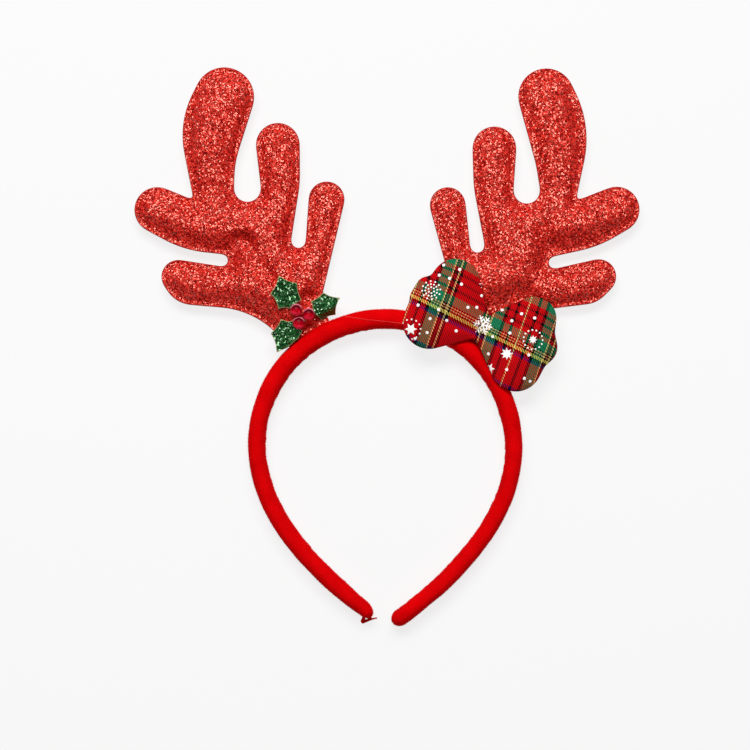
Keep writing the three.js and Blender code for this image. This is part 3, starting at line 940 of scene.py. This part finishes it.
def stitch_tree():
    """Beads laid in a row along the bare edges of a mesh."""
    tree, given, result = new_tree(
        "Topstitch", Pitch="Float", Length="Float", Width="Float", Height="Float", Thread="Material"
    )
    path = tree_node(tree, "GeometryNodeMeshToCurve", Mesh=given["Geometry"])
    by_length = {"mode": "LENGTH"}
    even = tree_node(tree, "GeometryNodeResampleCurve", by_length, Curve=path, Length=given["Pitch"])
    bead = tree_node(tree, "GeometryNodeMeshUVSphere", Segments=6, Rings=4, Radius=0.5)
    shape = tree_node(
        tree, "ShaderNodeCombineXYZ", X=given["Length"], Y=given["Width"], Z=given["Height"]
    )
    stitch = tree_node(tree, "GeometryNodeTransform", Geometry=bead, Scale=shape)
    along = tree_node(tree, "GeometryNodeInputTangent")
    aim = tree_node(tree, "FunctionNodeAlignRotationToVector", {"axis": "X"}, Vector=along)
    row = tree_node(tree, "GeometryNodeInstanceOnPoints", Points=even, Instance=stitch, Rotation=aim)
    return end_tree(tree, row, given["Thread"], result)


topstitch = stitch_tree()
antler_cloths = {}
for antler in ANTLERS:
    foot = math.radians(antler["foot"])
    stand = BAND_OUTSIDE * np.array([math.sin(foot), math.cos(foot)])
    pulleys = []
    for place, x, y, r, turning in ANTLER_PULLEYS:
        out, up, growth = OFF_PATTERN[antler["side"]].get(place, (0, 0, 0))
        pulleys.append((place, x + out, y * antler["stretch"] + up, r + growth, turning))
    outline = turn_flat(belt_edge(pulleys, EDGE_STEP), math.radians(-antler["lean"])) + stand
    edge = even_loop(outline * (antler["way"], 1) + hoop_centre, EDGE_STEP)
    edge = cut_at_band(edge, FOOT_GAP, EDGE_STEP)
    flat, faces = flat_cloth(edge, [CUT_RIM, SEAM_MARGIN / 2, SEAM_MARGIN], CLOTH_SPACING)
    depth = edge_distance(flat, edge)
    thickness = [ANTLER_RIM - CUT_BEVEL, ANTLER_RIM, SEAM_RIM]
    rim = np.interp(depth, [0, CUT_RIM, SEAM_MARGIN], thickness) / 2
    rise = rim + ANTLER_START * np.sqrt(np.clip(depth - SEAM_MARGIN, 0, None))
    points, faces, cut_from = two_plies(flat, faces, rise, -rise)
    seam = np.tile(depth < SEAM_MARGIN + SEAM_SLACK, 2)
    swollen = stuff(points, faces, seam, **ANTLER_STUFFING)
    room = np.clip(np.abs(swollen[:, 2]) - SEAM_RIM / 2, 0, None)
    plump = room.max() * (room / room.max()) ** PLUMPNESS
    swollen[:, 2] += np.sign(swollen[:, 2]) * np.where(seam, 0, plump - room)
    press = np.tile(fold_depth(flat, ANTLER_FOLDS[antler["side"]]), 2)
    press[len(flat) :] *= BACK_FOLDS
    press = np.where(seam, 0, np.minimum(press, DEEPEST_FOLD * plump))
    swollen[:, 2] -= np.sign(swollen[:, 2]) * press
    swollen[:, 2] = np.maximum(swollen[:, 2] + ANTLER_MIDDLE, ANTLER_LOWEST)
    name = "antler_" + antler["side"]
    cloth = make_piece(name + "_cloth", swollen, faces, [red_glitter, red_cut])
    glued = np.linalg.norm(flat - hoop_centre, axis=1) < BAND_OUTSIDE + GLUE_WIDTH
    paint_cut_edge(cloth, np.where(glued, SEAM_MARGIN, depth), CUT_RIM, cut_from)
    smooth_piece(cloth)
    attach(cloth, "root")
    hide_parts(name)
    antler_cloths[antler["side"]] = cloth
    sewn = inset_row(edge, SEAM_MARGIN)
    sewn = sewn[np.linalg.norm(sewn - hoop_centre, axis=1) > BAND_OUTSIDE + SEAM_MARGIN]
    lines = []
    for face_way in (1, -1):
        height = ANTLER_MIDDLE + face_way * (SEAM_RIM / 2 + STITCH_WIDTH / 4)
        lines.append(np.column_stack([sewn, np.full(len(sewn), height)]))
    stitches = run_tree(
        name + "_stitches",
        polyline_mesh("seam_lines", lines, closed=True),
        topstitch,
        Pitch=STITCH_PITCH * MM,
        Length=STITCH_LENGTH * MM,
        Width=STITCH_WIDTH * MM,
        Height=STITCH_WIDTH * MM,
        Thread=red_thread,
    )
    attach(stitches, "root")

# Bow: one padded butterfly of printed tartan twill, cut in two plies, turned, lightly stuffed and
# glued over the foot of the right antler.
BOW_CENTRE = hoop_centre + (47.9, 60.0)
BOW_TURN = math.radians(-27.8)
BOW_RIM = 1.2
BOW_EDGE_STEP = 1.2
BOW_SPACING = 1.6
BOW_ROW = 0.8
BOW_SEAM = 0.1
BOW_STUFFING = {"pressure": 40, "slack": 0.02, "tension": 4, "bending": 3}
# How fast the front and the back already rise from the seam when the stuffing starts.
BOW_START = (0.5, 0.1)
BOW_DEEPEST_FOLD = 0.8
BOW_PULLEYS = [
    ("lower waist", 0, -10.6, 2.8, "in"),
    ("right low corner", 24.2, -9.6, 12.9, "out"),
    ("right low dent", 38.1, -3.5, 1, "in"),
    ("right bulge", 30.2, 4, 9, "out"),
    ("right top dent", 34.7, 14.6, 1.2, "in"),
    ("right top corner", 21.3, 15.5, 11, "out"),
    ("upper waist", 0.3, 10.2, 2.6, "in"),
    ("left top corner", -21.5, 12.6, 12.3, "out"),
    ("left top dent", -35.2, 11.0, 1, "in"),
    ("left bulge top", -32.5, 3.8, 6.2, "out"),
    ("left bulge", -35.6, -2.2, 3.4, "out"),
    ("left low dent", -38.5, -6.4, 0.8, "in"),
    ("left low corner", -24, -10.6, 13.3, "out"),
]
# The cloth lies turned a little from the bow, and its cross threads slant.
WEAVE_TURN = math.radians(-26.5)
WEAVE_SLANT = 0.12
THREAD_PITCH = 0.36
# Each thread goes over two and under two, so the weave repeats after four. The grooves between its
# slanting ribs rise by a share of a thread's width, and painted shade makes them nearly black at the
# bottom.
TWILL_REPEAT = 4.0
GROOVE_RISE = 0.25
GROOVE_TOP = 0.19
GROOVE_PAINTED_SHADE = (0.02, 0.02, 0.02, 1.0)
TWILL_RELIEF = 0.3
WHITE = (1.0, 1.0, 1.0, 1.0)
# How much light a thread takes up from the threads that it crosses.
NEIGHBOUR_TINT = 0.1
UV_SPAN = 100.0
TARTAN = {
    "red": srgb(206, 2, 12),
    "bright red": srgb(220, 4, 16),
    "dark red": srgb(100, 2, 8),
    "green": srgb(30, 132, 88),
    "black": srgb(4, 2, 4),
    "navy": srgb(44, 18, 112),
    "yellow": srgb(255, 246, 116),
    "gold": srgb(246, 204, 130),
}
# Half of each sett, in millimetres out from the middle of the plain red square. It is mirrored there
# and again at its far end.
LENGTHWISE_SETT = [
    (0.0, "bright red"),
    (7.2, "navy"),
    (8.7, "black"),
    (10.3, "yellow"),
    (11.8, "black"),
    (12.7, "gold"),
    (13.2, "dark red"),
    (13.9, "gold"),
    (14.4, "black"),
    (15.2, "green"),
    (19.6, "red"),
    (21.9, "black"),
    (23.3, "red"),
    (26.0, "black"),
]
LENGTHWISE_MIDDLE = -13.1
LENGTHWISE_HALF = 26.7
CROSSWISE_SETT = [
    (0.0, "bright red"),
    (8.0, "black"),
    (9.6, "gold"),
    (10.3, "black"),
    (11.0, "dark red"),
    (12.0, "black"),
    (12.7, "gold"),
    (13.4, "green"),
    (18.3, "black"),
    (19.8, "bright red"),
    (22.7, "black"),
    (24.2, "bright red"),
    (27.9, "gold"),
]
CROSSWISE_MIDDLE = -9.6
CROSSWISE_HALF = 28.3
# Gathers in the padding, with the same columns as the antlers' valleys.
BOW_FOLDS = [
    ("right upper gather", 52.0, 61.0, 71.0, 58.5, 1.2, 2.6),
    ("right lower gather", 49.2, 56.0, 62.0, 47.0, 1.0, 2.6),
    ("left upper gather", 46.0, 64.0, 34.0, 75.0, 1.0, 2.6),
    ("left lower gather", 44.0, 58.5, 26.0, 63.5, 1.2, 2.6),
]


def sett_colour(tree, place, middle, half, sett):
    """The thread colour at a place across the stripes."""
    across = calc(tree, "PINGPONG", calc(tree, "SUBTRACT", place, middle), half)
    stops = [(start / half, TARTAN[colour]) for start, colour in sett]
    return ramp(tree, calc(tree, "DIVIDE", across, half), stops, "CONSTANT")


def tartan_material():
    """Tartan twill: at each crossing, the thread on top shows its stripe's colour, with painted shade in
    the gaps and grooves.
    """
    material, tree, shader = start_material("tartan_twill", Roughness=0.85, Specular_IOR_Level=0.08)
    cloth_map = tree_node(tree, "ShaderNodeUVMap", {"uv_map": "cloth"})
    split = tree_node(tree, "ShaderNodeSeparateXYZ", Vector=cloth_map)
    along, across = (
        calc(tree, "MULTIPLY", calc(tree, "SUBTRACT", split.outputs[k], 0.5), UV_SPAN) for k in (0, 1)
    )
    slanted = calc(tree, "MULTIPLY_ADD", across, WEAVE_SLANT, along)
    crosswise = sett_colour(tree, slanted, CROSSWISE_MIDDLE, CROSSWISE_HALF, CROSSWISE_SETT)
    lengthwise = sett_colour(tree, across, LENGTHWISE_MIDDLE, LENGTHWISE_HALF, LENGTHWISE_SETT)
    columns = calc(tree, "DIVIDE", slanted, THREAD_PITCH)
    rows = calc(tree, "DIVIDE", across, THREAD_PITCH)
    steps = calc(tree, "ADD", calc(tree, "FLOOR", columns), calc(tree, "FLOOR", rows))
    step = calc(tree, "FLOORED_MODULO", steps, TWILL_REPEAT)
    over = calc(tree, "LESS_THAN", step, TWILL_REPEAT / 2)
    woven = mix_colours(tree, over, lengthwise, crosswise)
    under = mix_colours(tree, over, crosswise, lengthwise)
    tinted = mix_colours(tree, NEIGHBOUR_TINT, woven, under, "MULTIPLY")
    row_crown, column_crown = (calc(tree, "PINGPONG", threads, 0.5) for threads in (rows, columns))
    thread = tree_node(tree, "ShaderNodeMix", Factor=over, A=row_crown, B=column_crown)
    wale = calc(tree, "PINGPONG", calc(tree, "ADD", columns, rows), TWILL_REPEAT / 2)
    groove = calc(tree, "MULTIPLY", wale, GROOVE_RISE)
    height = calc(tree, "MINIMUM", thread, groove)
    # Painted shade: the colour is darkened between threads and in the grooves between the ribs.
    painted_gap_shade = ramp(tree, height, [(0.0, GROOVE_PAINTED_SHADE), (GROOVE_TOP, WHITE)])
    feed(tree, shader.inputs["Base Color"], mix_colours(tree, 1.0, tinted, painted_gap_shade, "MULTIPLY"))
    feed(tree, shader.inputs["Normal"], bump(tree, height, TWILL_RELIEF * MM))
    return material


edge = turn_flat(belt_edge(BOW_PULLEYS, BOW_EDGE_STEP), BOW_TURN) + BOW_CENTRE
flat, faces = flat_cloth(edge, [BOW_ROW], BOW_SPACING)
depth = edge_distance(flat, edge)
front, back = (BOW_RIM / 2 + rise * np.sqrt(depth) for rise in BOW_START)
points, faces, _ = two_plies(flat, faces, front, -back)
seam = np.concatenate([depth < BOW_SEAM, np.ones(len(flat), bool)])
swollen = stuff(points, faces, seam, **BOW_STUFFING)
room = np.clip(swollen[: len(flat), 2] - BOW_RIM / 2, 0, None)
swollen[: len(flat), 2] -= np.minimum(fold_depth(flat, BOW_FOLDS), BOW_DEEPEST_FOLD * room)
bow_low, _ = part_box("bow")
swollen[:, 2] += bow_low.z / MM - swollen[:, 2].min()
bow = make_piece("bow_cloth", swollen, faces, [tartan_material()])
cloth_uv = bow.data.uv_layers.new(name="cloth")
weave = turn_flat(flat - BOW_CENTRE, -WEAVE_TURN) / UV_SPAN + 0.5
for loop in bow.data.loops:
    cloth_uv.data[loop.index].uv = weave[loop.vertex_index % len(flat)]
smooth_piece(bow)
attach(bow, "root")
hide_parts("bow")

# Print: white snow stamped on the bow's cloth, a thin layer of ink. There is one snowflake in the
# middle, a few stars, rings of small specks and single round flakes between them.
INK_THICKNESS = 0.1
INK_CLEARANCE = 0.05
ink, _, _ = start_material("white_ink", Base_Color=srgb(250, 244, 240), Roughness=0.7)
# Places on the cloth, along and across its weave from the middle of the bow.
SNOWFLAKE = {"along": 0.0, "across": 0.5, "radius": 4.6, "arms": 6, "turn": 12.0}
SNOWFLAKE_LINE = {"Pitch": 0.5, "Length": 0.9, "Width": 0.75, "Height": 0.16}
SNOWFLAKE_POINTS = 9
# How far out along an arm its two side branches start, and how long they are.
SNOWFLAKE_BRANCHES = [(0.4, 0.32), (0.68, 0.28)]
STARS = [
    {"along": 17.0, "across": -7.0, "radius": 3.2, "points": 8},
    {"along": 25.5, "across": 5.0, "radius": 2.3, "points": 8},
    {"along": -31.0, "across": -17.3, "radius": 3.2, "points": 6},
    {"along": 12.6, "across": -17.6, "radius": 3.0, "points": 6},
    {"along": -8.6, "across": 19.0, "radius": 2.4, "points": 6},
]
STAR_WAIST = 0.5
STAR_STEP = 0.25
STAR_ROW = 0.25
STAR_SPACING = 0.5
SPECK_RINGS = [
    {"along": 25.5, "across": 5.0, "radius": 4.8, "specks": 15},
    {"along": -31.0, "across": -17.3, "radius": 4.9, "specks": 13},
    {"along": -30.5, "across": 4.5, "radius": 1.5, "specks": 6},
    {"along": -30.5, "across": 4.5, "radius": 3.0, "specks": 12},
    {"along": -30.5, "across": 4.5, "radius": 4.5, "specks": 12},
]
SPECK_SIZE = 0.95
FLAKE_SIZE = 1.7
FLAKES = [
    (-10.5, 5), (-10.5, -8), (-17, -5.5), (-23, -2.5), (-22.5, 20), (-25, 13.8), (-18.5, 13.8),
    (-7, 13.3), (-6.5, 7), (5.5, 11.5), (14.8, 14), (21.5, 15), (12, 8.8), (13.8, 2.8), (27, -2.7),
    (7, -2.5), (9, -11), (20.5, -14), (30.3, -14), (33.5, -14), (-33, -5), (-24.8, -8.4),
    (-23, -15.2), (-27, -20.5), (-30.5, 18.5), (-30.2, 13),
]


def on_cloth(along, across):
    """The part's flat place of a place on the bow's weave."""
    return turn_flat([along, across], WEAVE_TURN) + BOW_CENTRE


def star_edge(points, radius):
    """The outline of a star round the origin."""
    corners = []
    for k in range(points * 2):
        angle = math.pi * k / points
        reach = radius * (1 if k % 2 == 0 else STAR_WAIST)
        corners.append((reach * math.cos(angle), reach * math.sin(angle)))
    return even_loop(np.array(corners), STAR_STEP)


def printed_star(name, star, surface):
    """A thin star of ink that follows the cloth, without any part that misses it."""
    edge = star_edge(star["points"], star["radius"])
    flat, faces = flat_cloth(edge, [STAR_ROW], STAR_SPACING)
    flat += on_cloth(star["along"], star["across"])
    drops = [drop_on(surface, place)[0] for place in flat]
    faces = [face for face in faces if all(drops[corner] is not None for corner in face)]
    used = sorted({corner for face in faces for corner in face})
    renumbered = {corner: i for i, corner in enumerate(used)}
    faces = [tuple(renumbered[corner] for corner in face) for face in faces]
    height = np.array([drops[corner][2] for corner in used]) + INK_CLEARANCE
    points, faces, _ = two_plies(flat[used], faces, height + INK_THICKNESS, height)
    return make_piece(name, points, faces, [ink])


def snow_tree():
    """Flat round flakes on the points of a mesh, by the size and the facing that each point holds."""
    tree, given, result = new_tree("Printed flakes", Thickness="Float", Ink="Material")
    flake = tree_node(tree, "GeometryNodeMeshUVSphere", Segments=10, Rings=5, Radius=0.5)
    size, facing = (
        tree_node(tree, "GeometryNodeInputNamedAttribute", {"data_type": kind}, Name=name)
        for name, kind in (("flake_size", "FLOAT"), ("facing", "FLOAT_VECTOR"))
    )
    shape = tree_node(tree, "ShaderNodeCombineXYZ", X=size, Y=size, Z=given["Thickness"])
    aim = tree_node(tree, "FunctionNodeAlignRotationToVector", {"axis": "Z"}, Vector=facing)
    snow = tree_node(
        tree,
        "GeometryNodeInstanceOnPoints",
        Points=given["Geometry"],
        Instance=flake,
        Rotation=aim,
        Scale=shape,
    )
    return end_tree(tree, snow, given["Ink"], result)


bow_surface = surface_of([bow])
prints = [printed_star("bow_print_star_%d" % i, star, bow_surface) for i, star in enumerate(STARS, 1)]

spots = [(along, across, FLAKE_SIZE) for along, across in FLAKES]
for ring in SPECK_RINGS:
    for k in range(ring["specks"]):
        angle = 2 * math.pi * k / ring["specks"]
        along = ring["along"] + ring["radius"] * math.cos(angle)
        across = ring["across"] + ring["radius"] * math.sin(angle)
        spots.append((along, across, SPECK_SIZE))
landed = []
for along, across, size in spots:
    point, facing = drop_on(bow_surface, on_cloth(along, across))
    if point is not None:
        landed.append((point + np.array(facing) * (INK_CLEARANCE + INK_THICKNESS), facing, size))
spot_mesh = bpy.data.meshes.new("printed_spots")
spot_mesh.from_pydata([tuple(point * MM) for point, _, _ in landed], [], [])
spot_size = spot_mesh.attributes.new("flake_size", "FLOAT", "POINT")
spot_size.data.foreach_set("value", [size * MM for _, _, size in landed])
spot_facing = spot_mesh.attributes.new("facing", "FLOAT_VECTOR", "POINT")
spot_facing.data.foreach_set("vector", [value for _, facing, _ in landed for value in facing])
prints.append(
    run_tree("bow_print_flakes", spot_mesh, snow_tree(), Thickness=2 * INK_THICKNESS * MM, Ink=ink)
)

arms = []
for k in range(SNOWFLAKE["arms"]):
    angle = math.radians(SNOWFLAKE["turn"]) + 2 * math.pi * k / SNOWFLAKE["arms"]
    way = np.array([math.cos(angle), math.sin(angle)])
    arms.append((np.zeros(2), way * SNOWFLAKE["radius"]))
    for start, length in SNOWFLAKE_BRANCHES:
        for side in (-1, 1):
            branch = turn_flat(way, side * math.pi / 3) * length
            ends = (way * start, way * start + branch)
            arms.append(tuple(end * SNOWFLAKE["radius"] for end in ends))
lines = []
for start, end in arms:
    line = []
    for share in np.linspace(0, 1, SNOWFLAKE_POINTS):
        along, across = start + (end - start) * share
        place = on_cloth(SNOWFLAKE["along"] + along, SNOWFLAKE["across"] + across)
        point, _ = drop_on(bow_surface, place)
        line.append(point + (0, 0, INK_CLEARANCE + SNOWFLAKE_LINE["Height"] / 2))
    lines.append(line)
prints.append(
    run_tree(
        "bow_print_snowflake",
        polyline_mesh("snowflake_lines", lines),
        topstitch,
        Thread=ink,
        **{size: value * MM for size, value in SNOWFLAKE_LINE.items()},
    )
)
for printed in prints:
    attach(printed, "root")

# Holly: three leaves die-cut from green glitter felt, glued at the foot of the left antler with their
# stalk ends together. The cut edge shows the felt's straw-coloured backing.
LEAF_LENGTH = 16.1
LEAF_WIDTH = 12.8
LEAF_FELT = 1.0
LEAF_STEP = 0.6
LEAF_SPACING = 0.9
LEAF_GAP = 0.3
LEAF_SCALLOP = 0.24
SCALLOP_POINTS = 12
LEAF_HEART = 0.45
# The spikes on each side: shares of the leaf's length and of half its width.
LEAF_SPIKES = [(0.14, 0.86), (0.62, 1.0)]
LEAF_CUP = 1.2
SIDE_CURL = 0.6
CRUMPLE = {"height": 0.5, "length": 4.0}
VEIN = {"depth": 0.25, "width": 0.5}
# The stalk end, across and up from the middle of the hoop, then the turn and droop in degrees, the size,
# and how far to one side of the vein the leaf is creased.
LEAVES = [
    ("holly_leaf_upper", -46.6, 68.2, 111.0, -3.0, 1.14, -9.0),
    ("holly_leaf_inner", -36.8, 66.5, 28.6, 5.0, 1.0, -2.6),
    ("holly_leaf_lower", -45.4, 62.9, 241.0, 3.0, 1.15, -9.0),
]
LEAF_RIM = 0.24
CREASE_DROP = 1.1
CLEARANCE = 0.12


def leaf_edge(step):
    """The outline of a leaf from its stalk: spikes with hollow scallops between."""
    right = [np.array([along * LEAF_LENGTH, -out * LEAF_WIDTH / 2]) for along, out in LEAF_SPIKES]
    left = [spike * (1, -1) for spike in reversed(right)]
    spikes = [np.zeros(2), *right, np.array([LEAF_LENGTH, 0.0]), *left]
    heart = np.array([LEAF_LENGTH * LEAF_HEART, 0.0])
    points = []
    for start, end in zip(spikes, spikes[1:] + spikes[:1]):
        hollow = (start + end) / 2 * (1 - LEAF_SCALLOP) + heart * LEAF_SCALLOP
        for t in np.linspace(0, 1, SCALLOP_POINTS)[:-1]:
            points.append(start * (1 - t) ** 2 + hollow * 2 * t * (1 - t) + end * t**2)
    return even_loop(np.array(points), step)


def seat(points, surface):
    """Points in millimetres lowered from above until they rest on a surface."""
    lift = -math.inf
    for point in points:
        under, _ = drop_on(surface, point[:2])
        if under is not None:
            lift = max(lift, under[2] - point[2])
    return points + (0, 0, lift + CLEARANCE)


green_glitter = glitter_material(
    "green_glitter",
    flake=0.6,
    tilt=1.1,
    shine=0.5,
    gleam=srgb(205, 255, 205),
    Shadow=srgb(0, 8, 0),
    Ground=srgb(0, 42, 12),
    Lit=srgb(22, 96, 36),
)
felt_cut = plain_cloth("felt_cut_edge", srgb(112, 110, 64), srgb(178, 170, 118), 0.3)

left_surface = surface_of([antler_cloths["left"]])
leaf_pieces = []
for name, x, y, turn, droop, size, crease in LEAVES:
    angle = math.radians(turn)
    stalk = hoop_centre + (x, y)
    edge = turn_flat(leaf_edge(LEAF_STEP) * size, angle) + stalk
    edge = cut_at_band(edge, LEAF_GAP, LEAF_STEP)
    flat, faces = flat_cloth(edge, [LEAF_RIM], LEAF_SPACING)
    own = turn_flat(flat - stalk, -angle) / size
    across = np.abs(own[:, 1]) / (LEAF_WIDTH / 2)
    curl = LEAF_CUP * (SIDE_CURL * across**1.5 + (own[:, 0] / LEAF_LENGTH - 0.5) ** 2)
    height = -curl - np.tan(math.radians(droop)) * own[:, 0]
    wrinkles = [noise.noise(Vector((*place / CRUMPLE["length"], turn))) for place in flat]
    vein = np.exp(-((own[:, 1] / VEIN["width"]) ** 2))
    height += CRUMPLE["height"] * np.array(wrinkles) - VEIN["depth"] * vein
    height -= CREASE_DROP * np.clip(crease - own[:, 1], 0, None)
    points, faces, cut_from = two_plies(flat, faces, height + LEAF_FELT, height)
    seated = seat(points, left_surface)
    felt = make_piece(name + "_felt", seated, faces, [green_glitter, felt_cut])
    paint_cut_edge(felt, edge_distance(flat, edge), LEAF_RIM, cut_from)
    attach(felt, "root")
    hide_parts(name)
    leaf_pieces.append(felt)

# Berries: three domes cast in clear red resin with a flat back, glued over the leaves' stalk ends.
# Painted light brightens the lower half of each, painted shade darkens the upper half, and a painted
# highlight makes the upper rim pale.
BERRY_RADIUS = 3.1
BERRY_RISE = 4.4
BERRY_SIDES = 32
BERRY_TIP = 1.003
BERRY_CLOUD_WAVES = 700.0
BLACK = (0.0, 0.0, 0.0, 1.0)
# Painted light and shade for the resin: lit lower half, body red, shaded upper half, pale rim highlight.
BERRY_PAINTED_LIGHT = srgb(255, 44, 76)
BERRY_RED = srgb(176, 0, 20)
BERRY_PAINTED_SHADE = srgb(84, 0, 12)
BERRY_PAINTED_HIGHLIGHT = srgb(250, 140, 160)
BERRIES = {
    "berry_upper": (-44.4, 67.9),
    "berry_inner": (-38.2, 65.8),
    "berry_lower": (-43.2, 61.5),
}
# The dome's outline from the top down: shares of its radius and of its rise.
BERRY_PROFILE = [
    (0.14, 1.0),
    (0.3, 0.985),
    (0.46, 0.945),
    (0.6, 0.885),
    (0.73, 0.8),
    (0.84, 0.69),
    (0.92, 0.56),
    (0.975, 0.42),
    (1.0, 0.28),
    (0.985, 0.14),
    (0.93, 0.05),
    (0.84, 0.0),
]


def dome(profile, radius, rise, sides):
    """A closed turned dome, standing on its flat back."""
    points = [(0.0, 0.0, rise * BERRY_TIP)]
    for out, up in profile:
        for k in range(sides):
            angle = 2 * math.pi * k / sides
            points.append((radius * out * math.cos(angle), radius * out * math.sin(angle), rise * up))
    points.append((0.0, 0.0, 0.0))
    faces = []
    last = len(points) - 1
    for k in range(sides):
        after = (k + 1) % sides
        faces.append((0, 1 + k, 1 + after))
        for ring in range(len(profile) - 1):
            a = 1 + ring * sides
            faces.append((a + k, a + sides + k, a + sides + after, a + after))
        a = last - sides
        faces.append((last, a + after, a + k))
    return np.array(points), faces


def berry_material():
    """Clear resin with painted shade above, painted light below where light would gather, and a painted
    pale highlight on the upper rim.
    """
    material, tree, shader = start_material("berry_resin", Roughness=0.25, Specular_IOR_Level=0.06)
    place = tree.nodes.new("ShaderNodeTexCoord").outputs
    way = tree_node(tree, "ShaderNodeSeparateXYZ", Vector=place["Normal"]).outputs
    cloud = noise_value(tree, place["Object"], BERRY_CLOUD_WAVES)
    upward = calc(tree, "MULTIPLY_ADD", way["Y"], 0.5, calc(tree, "MULTIPLY", cloud, 0.5))
    # Painted light and shade: lit where the dome's side faces -Y, shaded where it faces +Y.
    shades = [(0.15, BERRY_PAINTED_LIGHT), (0.42, BERRY_RED), (0.7, BERRY_PAINTED_SHADE)]
    body = ramp(tree, calc(tree, "ADD", upward, 0.25), shades)
    # Painted highlight: pale on the steep side of the dome that faces +Y.
    rim = ramp(tree, way["Z"], [(0.32, WHITE), (0.6, BLACK)])
    top = ramp(tree, way["Y"], [(0.05, BLACK), (0.65, WHITE)])
    painted_light_and_shade = mix_colours(tree, calc(tree, "MULTIPLY", rim, top), body, BERRY_PAINTED_HIGHLIGHT)
    feed(tree, shader.inputs["Base Color"], painted_light_and_shade)
    return material


berry_resin = berry_material()
sprig_surface = surface_of([antler_cloths["left"], *leaf_pieces])
for name, place in BERRIES.items():
    points, faces = dome(BERRY_PROFILE, BERRY_RADIUS, BERRY_RISE, BERRY_SIDES)
    points[:, :2] += hoop_centre + place
    berry = make_piece(name + "_dome", seat(points, sprig_surface), faces, [berry_resin])
    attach(berry, "root")
    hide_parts(name)

# Studio: a plain pale floor, a dim white surround, one soft light from beyond the antlers, a wide one
# overhead and a camera looking straight down.
FLOOR_HALF = 3000.0
SURROUND = 0.1
AIM = (0.0, 0.02, 0.0)
VIEW_CENTRE = (-0.00612, -0.01442)
VIEW_WIDTH = 0.375
VIEW_HEIGHT = 0.007
LENS = 120.0
SENSOR = 36.0

floor_material, _, _ = start_material(
    "pale_floor",
    Roughness=0.9,
    Specular_IOR_Level=0.0,
    Base_Color=(0.14, 0.14, 0.14, 1.0),
    Emission_Color=WHITE,
    Emission_Strength=0.79,
)
floor_corners = [(x * FLOOR_HALF, y * FLOOR_HALF, 0.0) for x, y in ((-1, -1), (1, -1), (1, 1), (-1, 1))]
floor = make_piece("floor", floor_corners, [(0, 1, 2, 3)], [floor_material])

world = bpy.data.worlds.new("surround")
world.use_nodes = True
background = world.node_tree.nodes["Background"].inputs
background["Color"].default_value = WHITE
background["Strength"].default_value = SURROUND
bpy.context.scene.world = world


def soft_light(name, place, width, height, power):
    """An oval light aimed at the headband."""
    lamp = bpy.data.lights.new(name, "AREA")
    lamp.shape = "ELLIPSE"
    lamp.size = width
    lamp.size_y = height
    lamp.energy = power
    light = add_object(name, lamp)
    light.location = place
    light.rotation_mode = "QUATERNION"
    light.rotation_quaternion = (Vector(AIM) - Vector(place)).to_track_quat("-Z", "Y")


soft_light("key", place=(-0.12, 1.0, 1.5), width=1.6, height=0.7, power=39.0)
soft_light("overhead", place=(0.0, -0.1, 1.7), width=1.2, height=1.2, power=5.0)

camera_data = bpy.data.cameras.new("camera")
camera_data.lens = LENS
camera_data.sensor_width = SENSOR
camera_data.clip_start = 0.01
camera_data.clip_end = 20.0
camera = add_object("camera", camera_data)
camera.location = (*VIEW_CENTRE, VIEW_HEIGHT + VIEW_WIDTH / 2 * LENS / (SENSOR / 2))
bpy.context.scene.camera = camera
bpy.context.scene.view_settings.view_transform = "Standard"
